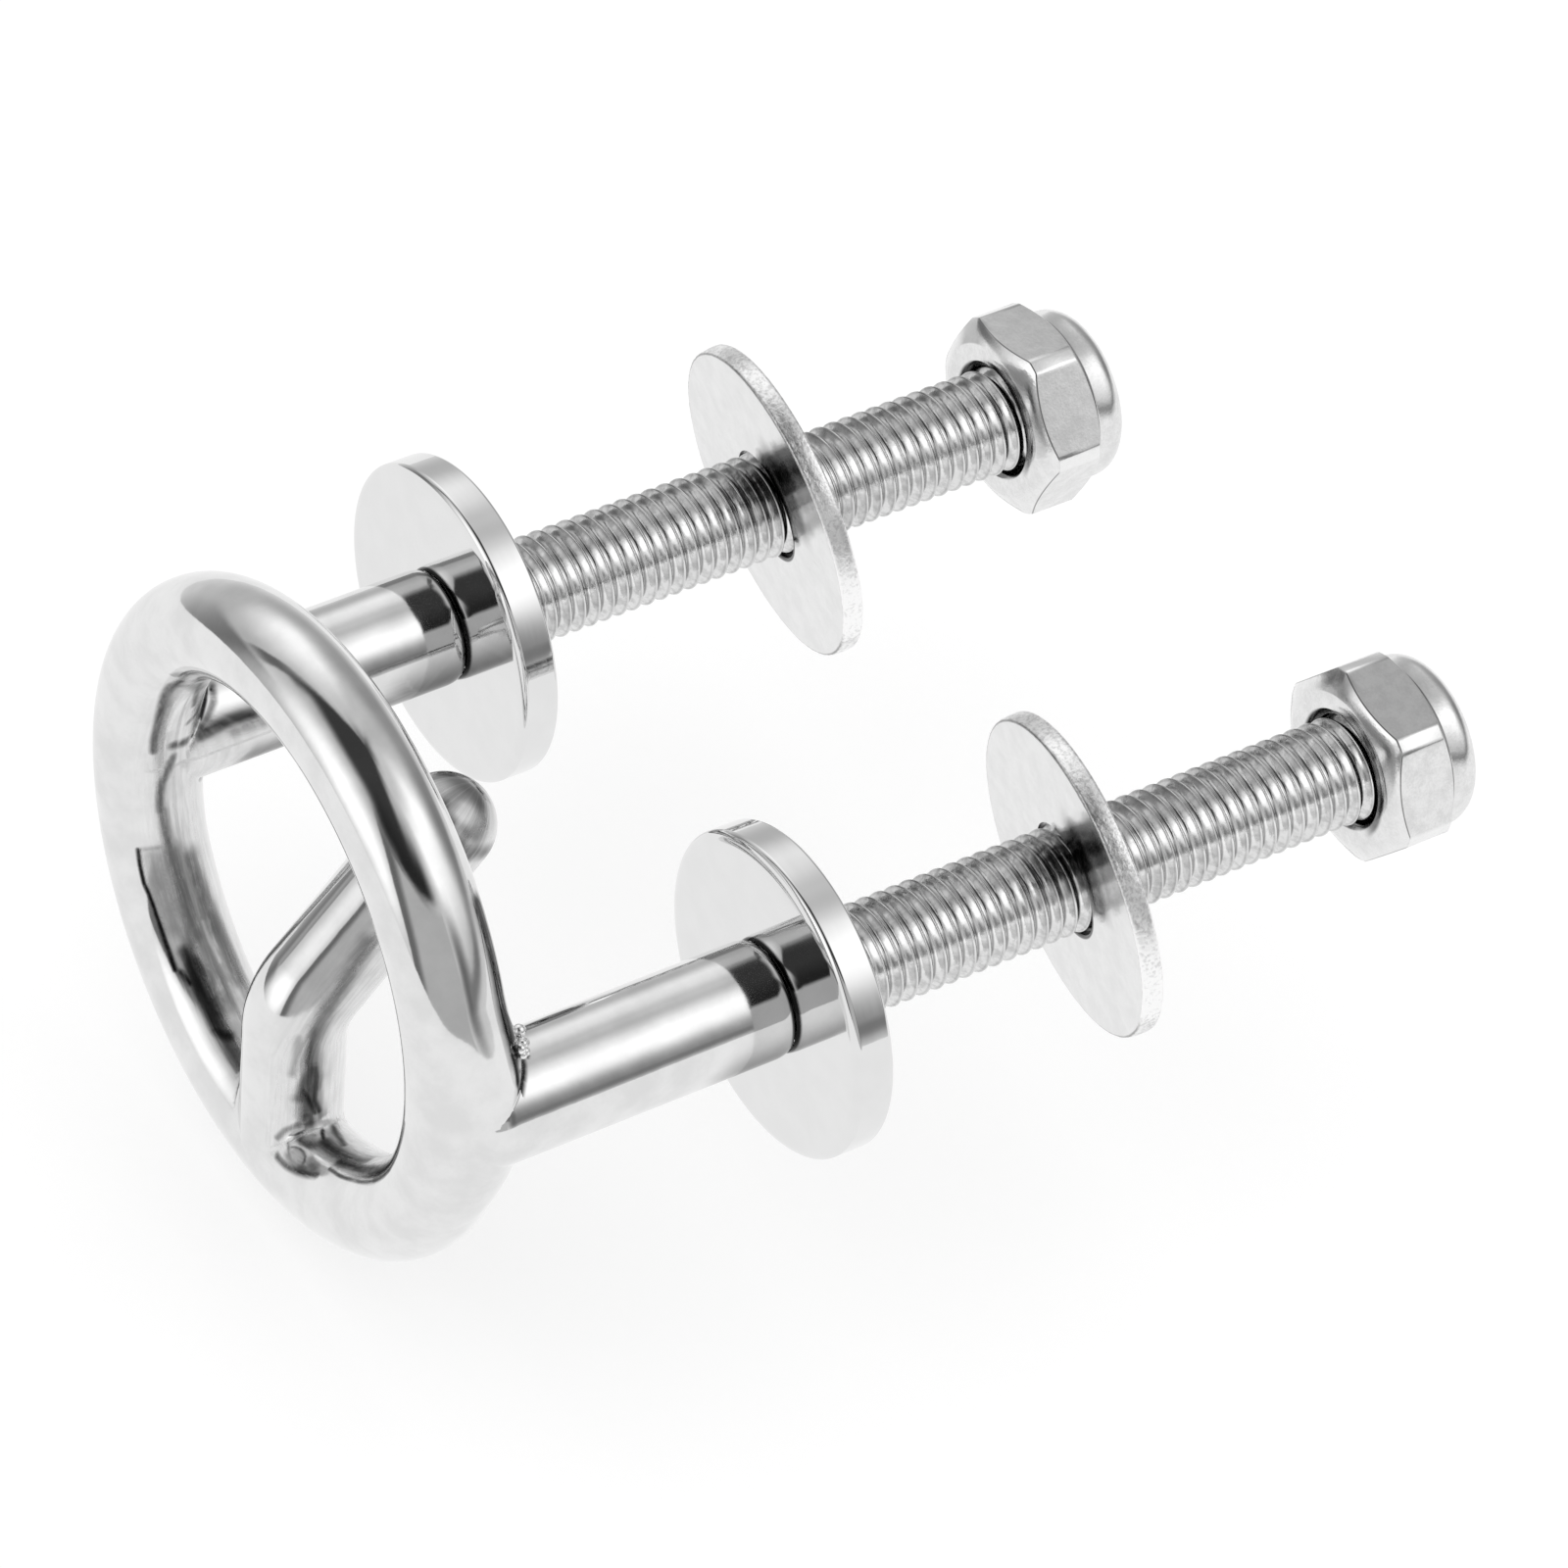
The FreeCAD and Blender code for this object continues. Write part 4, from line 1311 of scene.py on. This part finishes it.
work = bmesh.new()
bmesh.ops.create_circle(work, cap_ends=True, segments=96, radius=TABLE_RADIUS * MM)
bmesh.ops.translate(work, verts=work.verts, vec=(0, 0, TABLE_DROP * MM))
table = in_scene(finished_mesh("table_top", work))
table.data.materials.append(white_table_top())
print("table", 2 * TABLE_RADIUS, "mm across")

# %% [markdown]
# ## The finishes
#
# All the metal is the same stainless steel. What differs is how it was finished:
# buffed to a mirror, ground, rolled, punched or left as it came from the bar. So each
# material starts from one steel and changes only its roughness, its stains and the
# fine relief that bends the highlights.

# %% Finish helpers
# most values of a noise lie between these two
SPREAD = (0.3, 0.7)


def noise(place, scale, detail=2.0, rough=0.5):
    """Noise at a place, in cycles per millimetre, all ways alike or along each axis; returns its value."""
    tree = place.id_data
    stretch = tree.nodes.new("ShaderNodeVectorMath")
    stretch.operation = "MULTIPLY"
    feed(stretch.inputs[0], place)
    stretch.inputs[1].default_value = scale if isinstance(scale, tuple) else (scale, scale, scale)
    node = tree.nodes.new("ShaderNodeTexNoise")
    node.inputs["Scale"].default_value = 1.0
    node.inputs["Detail"].default_value = detail
    node.inputs["Roughness"].default_value = rough
    feed(node.inputs["Vector"], stretch.outputs[0])
    return node.outputs["Fac"]


def painted(shader, name, output="Fac"):
    """Number, or with output Vector the vector, that was painted on the mesh."""
    node = shader.id_data.nodes.new("ShaderNodeAttribute")
    node.attribute_name = name
    return node.outputs[output]


def strokes(shader, name):
    """How far the strokes of one name cover a place: fully on their lines, fading to their edges."""
    share, force, _ = split(painted(shader, name, "Vector"))
    return times(ramp(share, 0.0, 1.0), force)


def new_steel(name):
    """Material of plain steel, its shader, and the place on the object in millimetres."""
    material = bpy.data.materials.new(name)
    material.use_nodes = True
    tree = material.node_tree
    shader = tree.nodes["Principled BSDF"]
    shader.inputs["Metallic"].default_value = 1.0
    scale = tree.nodes.new("ShaderNodeVectorMath")
    scale.operation = "SCALE"
    scale.inputs["Scale"].default_value = 1 / MM
    feed(scale.inputs[0], tree.nodes.new("ShaderNodeTexCoord").outputs["Object"])
    return material, shader, scale.outputs[0]


def finish(shader, level, rough, height, depth):
    """Give steel its brightness, its roughness and a relief, whose depth is in millimetres."""
    tree = shader.id_data
    colour = tree.nodes.new("ShaderNodeCombineColor")
    for socket in colour.inputs:
        feed(socket, level)
    feed(shader.inputs["Base Color"], colour.outputs[0])
    feed(shader.inputs["Roughness"], rough)
    bump = tree.nodes.new("ShaderNodeBump")
    bump.inputs["Strength"].default_value = 1.0
    bump.inputs["Distance"].default_value = depth * MM
    feed(bump.inputs["Height"], height)
    feed(shader.inputs["Normal"], bump.outputs["Normal"])


# %% [markdown]
# ## The buffed ring
#
# The bars were ground with the grain of the bar and then buffed. A picture could be
# wrapped round them, but it would need seams. The painted strokes need none: noise
# stretched along each bar breaks them up, so they end as ragged as real grinding.

# %% Polished ring
MIRROR_ROUGH = 0.07
GROUND_ROUGH = 0.36
# colour of the painted highlights, and how far stains and painted shade darken the steel
GLINT_LEVEL = 0.98
STAIN_AND_SHADE_FLOOR = 0.12
STAIN_AND_SHADE_CURVE = 1.9
# painted shade at the end of each shank, in the gap by the cover washer
END_SHADE_FADE = (SHOULDER - 0.6, SHOULDER - 0.3)
END_SHADE_LEVEL = 0.03


def ring_steel():
    """Buffed steel with faint clouds; ground patches, stains with painted shade and painted highlights where
    they were painted; painted shade at the shank ends.
    """
    material, shader, place = new_steel("buffed_ring_steel")
    grain = painted(shader, "grain", "Vector")
    ground = strokes(shader, "ground")
    streaks = noise(grain, (0.22, 2.6, 1.0), 4.0, 0.6)
    blotches = noise(grain, (0.55, 0.9, 1.0), 4.0, 0.6)
    broken = sums("MULTIPLY_ADD", streaks, 0.9, times(blotches, 0.9))
    # stains and painted shade from the strokes and along the fold
    marks = sums("MAXIMUM", strokes(shader, "stain_and_shade"), strokes(shader, "crease_shade"))
    stain_and_shade = times(marks, ramp(broken, 0.45, 1.0, 0.45, 1.2))
    kept = sums("MAXIMUM", rest(times(stain_and_shade, 0.9)), STAIN_AND_SHADE_FLOOR)
    haze = times(ground, ramp(streaks, 0.35, 0.7, 0.0, 0.16))
    clouds = noise(place, 0.28, 4.0, 0.55)
    level = ramp(clouds, *SPREAD, STEEL_LEVEL * 0.93, STEEL_LEVEL * 1.03)
    level = times(level, rest(haze), sums("POWER", kept, STAIN_AND_SHADE_CURVE))
    # painted shade at the shank's end, then the painted highlights
    level = times(level, ramp(split(place)["Y"], *END_SHADE_FADE, 1.0, END_SHADE_LEVEL))
    level = between(strokes(shader, "glint"), level, GLINT_LEVEL)
    satin = times(ground, ramp(blotches, *SPREAD, 0.75, 1.1))
    waves = sums("ADD", times(noise(place, 0.16), 0.03), times(noise(place, 0.7), 0.004))
    height = sums("ADD", waves, times(streaks, ground, 0.03))
    finish(shader, level, between(satin, MIRROR_ROUGH, GROUND_ROUGH), height, 1.0)
    return material


# %% [markdown]
# ## Weld and turned washers
#
# A weld bead keeps the skin with which it set: satin, not buffed. A turned washer is
# nearly a perfect mirror, and a perfect one would look false. Very slow noise in the
# relief is enough to bend its reflections the way a real face does.

# %% Weld beads and mirror washers
WELD_ROUGH = 0.22
WELD_RELIEF = 0.006
TURNING_RELIEF = 0.012


def weld_steel():
    """Bead of weld as it set: satin, a little lighter than the buffed bars."""
    material, shader, place = new_steel("weld_bead_steel")
    clouds = noise(place, 1.5, 3.0)
    finish(shader, ramp(clouds, *SPREAD, 0.8, 0.95), WELD_ROUGH, clouds, WELD_RELIEF)
    return material


def mirror_steel():
    """Turned and buffed washer: a mirror with the faintest turning marks and clouds."""
    material, shader, place = new_steel("mirror_washer_steel")
    clouds = noise(place, 0.35, 3.0)
    level = ramp(clouds, *SPREAD, STEEL_LEVEL * 0.985, STEEL_LEVEL * 1.01)
    rough = ramp(clouds, *SPREAD, 0.03, 0.07)
    finish(shader, level, rough, noise(place, (0.12, 0.5, 0.12)), TURNING_RELIEF)
    return material


# %% [markdown]
# ## The rolled thread
#
# Rollers press a thread into the bar. Its root is painted darker and the flank a
# little darker towards the crest, both as painted shade, and the crest is rubbed. All
# three depend only on the distance from the stud's axis, so ramps over that radius
# place them exactly. Only the painted shade and highlight on the stud's sides need
# the numbers that were painted on it.

# %% Rolled thread
# how far up the root's painted shade reaches, and how much the painted highlight raises the front
ROOT_SHADE_DEEP = 0.07
CREST_LEVEL = 0.8
FRONT_HIGHLIGHT_GAIN = 1.32
BRIGHTEST = 0.95
THREAD_RELIEF = 0.012


def thread_steel():
    """Rolled thread: fine lines round the stud, a painted highlight on its front flanks, and painted shade in
    the root, towards the crest and on its sides.
    """
    material, shader, place = new_steel("rolled_thread_steel")
    x, y, z = split(place)
    across = sums("SUBTRACT", sums("ABSOLUTE", x), STUD_SIDE)
    radius = sums("SQRT", sums("MULTIPLY_ADD", z, z, times(across, across)))
    unrolled = shader.id_data.nodes.new("ShaderNodeCombineXYZ")
    for socket, source in zip(unrolled.inputs, (times(sums("ARCTAN2", z, across), STUD_RADIUS), y, x)):
        feed(socket, source)
    lines = noise(unrolled.outputs[0], (0.35, 3.5, 0.0), 4.0, 0.6)
    scuffs = noise(place, 1.1, 4.0, 0.6)
    # the root and the flank near the crest are painted darker, as painted shade
    root_shade = ramp(radius, ROOT_RADIUS, ROOT_RADIUS + ROOT_SHADE_DEEP, 0.42, 1.0)
    lip = ramp(radius, STUD_RADIUS - 0.3, STUD_RADIUS - 0.16, 1.0, 0.8)
    level = times(ramp(scuffs, 0.3, 0.6, 0.69, 0.87), root_shade, lip)
    level = between(ramp(radius, STUD_RADIUS - 0.09, STUD_RADIUS - 0.03), level, CREST_LEVEL)
    # painted highlight on the front, then painted shade on the sides
    level = times(level, between(painted(shader, "front_highlight"), 1.0, FRONT_HIGHLIGHT_GAIN))
    shade = times(painted(shader, "shade"), ramp(scuffs, 0.3, 0.6, 1.15, 0.8))
    level = times(sums("MINIMUM", level, BRIGHTEST), rest(shade))
    height = sums("MULTIPLY_ADD", lines, 0.5, scuffs)
    finish(shader, level, ramp(scuffs, *SPREAD, 0.2, 0.09), height, THREAD_RELIEF)
    return material


# %% [markdown]
# ## The punched washers
#
# Sheet metal has a milky rolled face, and the punch leaves a rough torn rim. Beside
# the hole the face is painted darker on one side, as painted shade, and the rim's edges
# carry painted shade and painted highlights. The washer leans, so the places that it
# had before it was moved are painted on it, and rim and painted shade follow them.

# %% Punched washer
# colour of the painted shade beside the hole
HOLE_SIDE_SHADE_LEVEL = 0.06
TORN_ROUGH = 0.3
PUNCHED_RELIEF = 0.05


def local_polar(shader):
    """Radius, angle and height in a washer's or nut's own frame, from its painted places."""
    x, y, z = split(painted(shader, "local", "Vector"))
    square = sums("MULTIPLY_ADD", z, z, times(x, x))
    return sums("SQRT", square), sums("DEGREES", sums("ARCTAN2", z, x)), y


def punched_steel():
    """Sheet washer: milky rolled faces with faint scratches, painted shade beside the hole and at its edge, a
    rough torn rim with painted shade and highlights on its edges.
    """
    material, shader, place = new_steel("punched_washer_steel")
    rim = painted(shader, "rim")
    radius, turn, height = local_polar(shader)
    clouds = noise(place, 0.45, 5.0, 0.6)
    grit = noise(place, 2.6, 4.0, 0.65)
    scratched = ramp(noise(place, (0.35, 3.2, 2.4), 4.0, 0.7), 0.64, 0.72, 1.0, 0.9)
    face = times(ramp(clouds, *SPREAD, 0.76, 0.83), scratched)
    # painted shade on one side of the face beside the hole, and at the hole's edge
    hole_side_shade = times(ramp(radius, 8.0, 10.6, 0.92, 0.0), window(turn, 8.0, 30.0, 72.0, 92.0))
    hole_side_shade = times(hole_side_shade, ramp(grit, 0.3, 0.6, 0.8, 1.0))
    face = between(hole_side_shade, face, HOLE_SIDE_SHADE_LEVEL)
    edge = ramp(radius, BACKING_BORE + 0.25, BACKING_BORE + 0.45, 0.95, 0.0)
    face = times(face, rest(times(edge, ramp(turn, 0.0, 30.0, 1.0, 0.0))))
    zones = ramp(noise(place, 0.22, 1.0), 0.35, 0.6, 0.82, 1.0)
    torn = times(ramp(grit, 0.36, 0.6, 0.78, 1.12), zones)
    # the rim's lowest edge is painted darker, and lighter on one side, as painted shade and painted
    # highlights
    beside = window(turn, -35.0, -10.0, 40.0, 62.0)
    arris = between(ramp(height, -0.98, -0.8), between(beside, 0.25, 1.3), between(beside, 0.97, 1.12))
    rough = between(rim, ramp(clouds, *SPREAD, 0.1, 0.17), TORN_ROUGH)
    bumps = between(rim, times(clouds, 0.25), grit)
    finish(shader, between(rim, face, times(torn, arris)), rough, bumps, PUNCHED_RELIEF)
    return material


# %% [markdown]
# ## The formed nuts
#
# A nut is pressed cold in dies and its flats are satin. Its corners carry painted
# highlights and its arrises painted shade. These follow the rows of the nut's own
# grid, so they were painted row by row when it was made.

# %% Formed nut
# colours of the painted shade on the upper flats and arrises, and of the painted highlight on the corners
UPPER_FLAT_SHADE_LEVEL = 0.74
ARRIS_SHADE_LEVEL = 0.12
CORNER_HIGHLIGHT_LEVEL = 0.95
NUT_RELIEF = 0.02


def nut_steel():
    """Cold-formed nut: satin flats; painted shade on the arrises, the upper flats and round the hole, a
    painted dark reflection on the chamfer and painted highlights on the corners.
    """
    material, shader, place = new_steel("formed_nut_steel")
    radius, turn, height = local_polar(shader)
    clouds = noise(place, 0.7, 4.0, 0.6)
    both = sums("MULTIPLY_ADD", noise(place, 4.0, 4.0, 0.6), 0.35, times(clouds, 0.65))
    # the flats that face up are painted darker, as painted shade
    normal = split(shader.id_data.nodes.new("ShaderNodeNewGeometry").outputs["True Normal"])
    upper_flat_shade = times(ramp(normal["Z"], 0.8, 0.95), painted(shader, "flat"))
    level = times(ramp(both, 0.35, 0.65, 0.74, 0.84), between(upper_flat_shade, 1.0, UPPER_FLAT_SHADE_LEVEL))
    level = times(level, between(painted(shader, "arris"), 1.0, ARRIS_SHADE_LEVEL))
    level = between(painted(shader, "corner"), level, CORNER_HIGHLIGHT_LEVEL)
    # painted shade in the countersink, a little lighter low down
    below = window(turn, -110.0, -80.0, -45.0, -25.0)
    throat_shade = ramp(radius, NUT_COUNTERSINK - 0.2, NUT_COUNTERSINK + 0.08)
    throat_shade = between(throat_shade, ramp(below, 0.0, 1.0, 0.06, 0.4), 1.0)
    # painted shade on the bearing face by the hole and a painted dark reflection on the chamfer, near the
    # bearing face only
    face_shade = times(window(turn, -35.0, -8.0, 62.0, 95.0), ramp(radius, 6.2, 6.7, 0.8, 0.0))
    chamfer_reflection = times(ramp(radius, NUT_FACE - 0.1, NUT_FACE + 0.1), window(turn, 98.0, 112.0, 128.0, 142.0, 0.4))
    shade_and_reflection = times(sums("MAXIMUM", face_shade, chamfer_reflection), ramp(height, 0.9, 1.5, 1.0, 0.0))
    level = times(level, throat_shade, rest(shade_and_reflection))
    finish(shader, level, ramp(both, 0.35, 0.65, 0.2, 0.12), both, NUT_RELIEF)
    return material


# %% [markdown]
# ## The nylon rings
#
# Nylon lets light in a little way before it comes out again. A plain matt white
# would look like chalk, so a shallow subsurface share gives it the milky look.

# %% Nylon
NYLON_ROUGH = 0.42
NYLON_DEPTH = 0.5
NYLON_RELIEF = 0.02


def nylon():
    """Natural nylon, milky and slightly waxy."""
    material, shader, place = new_steel("milky_nylon")
    clouds = noise(place, 0.8, 3.0)
    shader.inputs["Metallic"].default_value = 0.0
    shader.inputs["Subsurface Weight"].default_value = 0.3
    shader.inputs["Subsurface Scale"].default_value = NYLON_DEPTH * MM
    shader.inputs["Subsurface Radius"].default_value = (1.0, 1.0, 1.0)
    finish(shader, ramp(clouds, *SPREAD, 0.62, 0.72), NYLON_ROUGH, clouds, NYLON_RELIEF)
    return material


# %% Finish of every piece
FINISHES = (
    ([tow_ring], ring_steel(), "polished_steel"),
    (studs, thread_steel(), "polished_steel"),
    ([beads], weld_steel(), "polished_steel"),
    (cover_washers, mirror_steel(), "cover_steel"),
    (backing_washers, punched_steel(), "washer_steel"),
    (lock_nuts, nut_steel(), "nut_steel"),
    (nylon_rings, nylon(), "nylon"),
)
for pieces, material, slot in FINISHES:
    for piece in pieces:
        piece.data.materials.append(material)
    print(material.name, "on", len(pieces), "pieces")
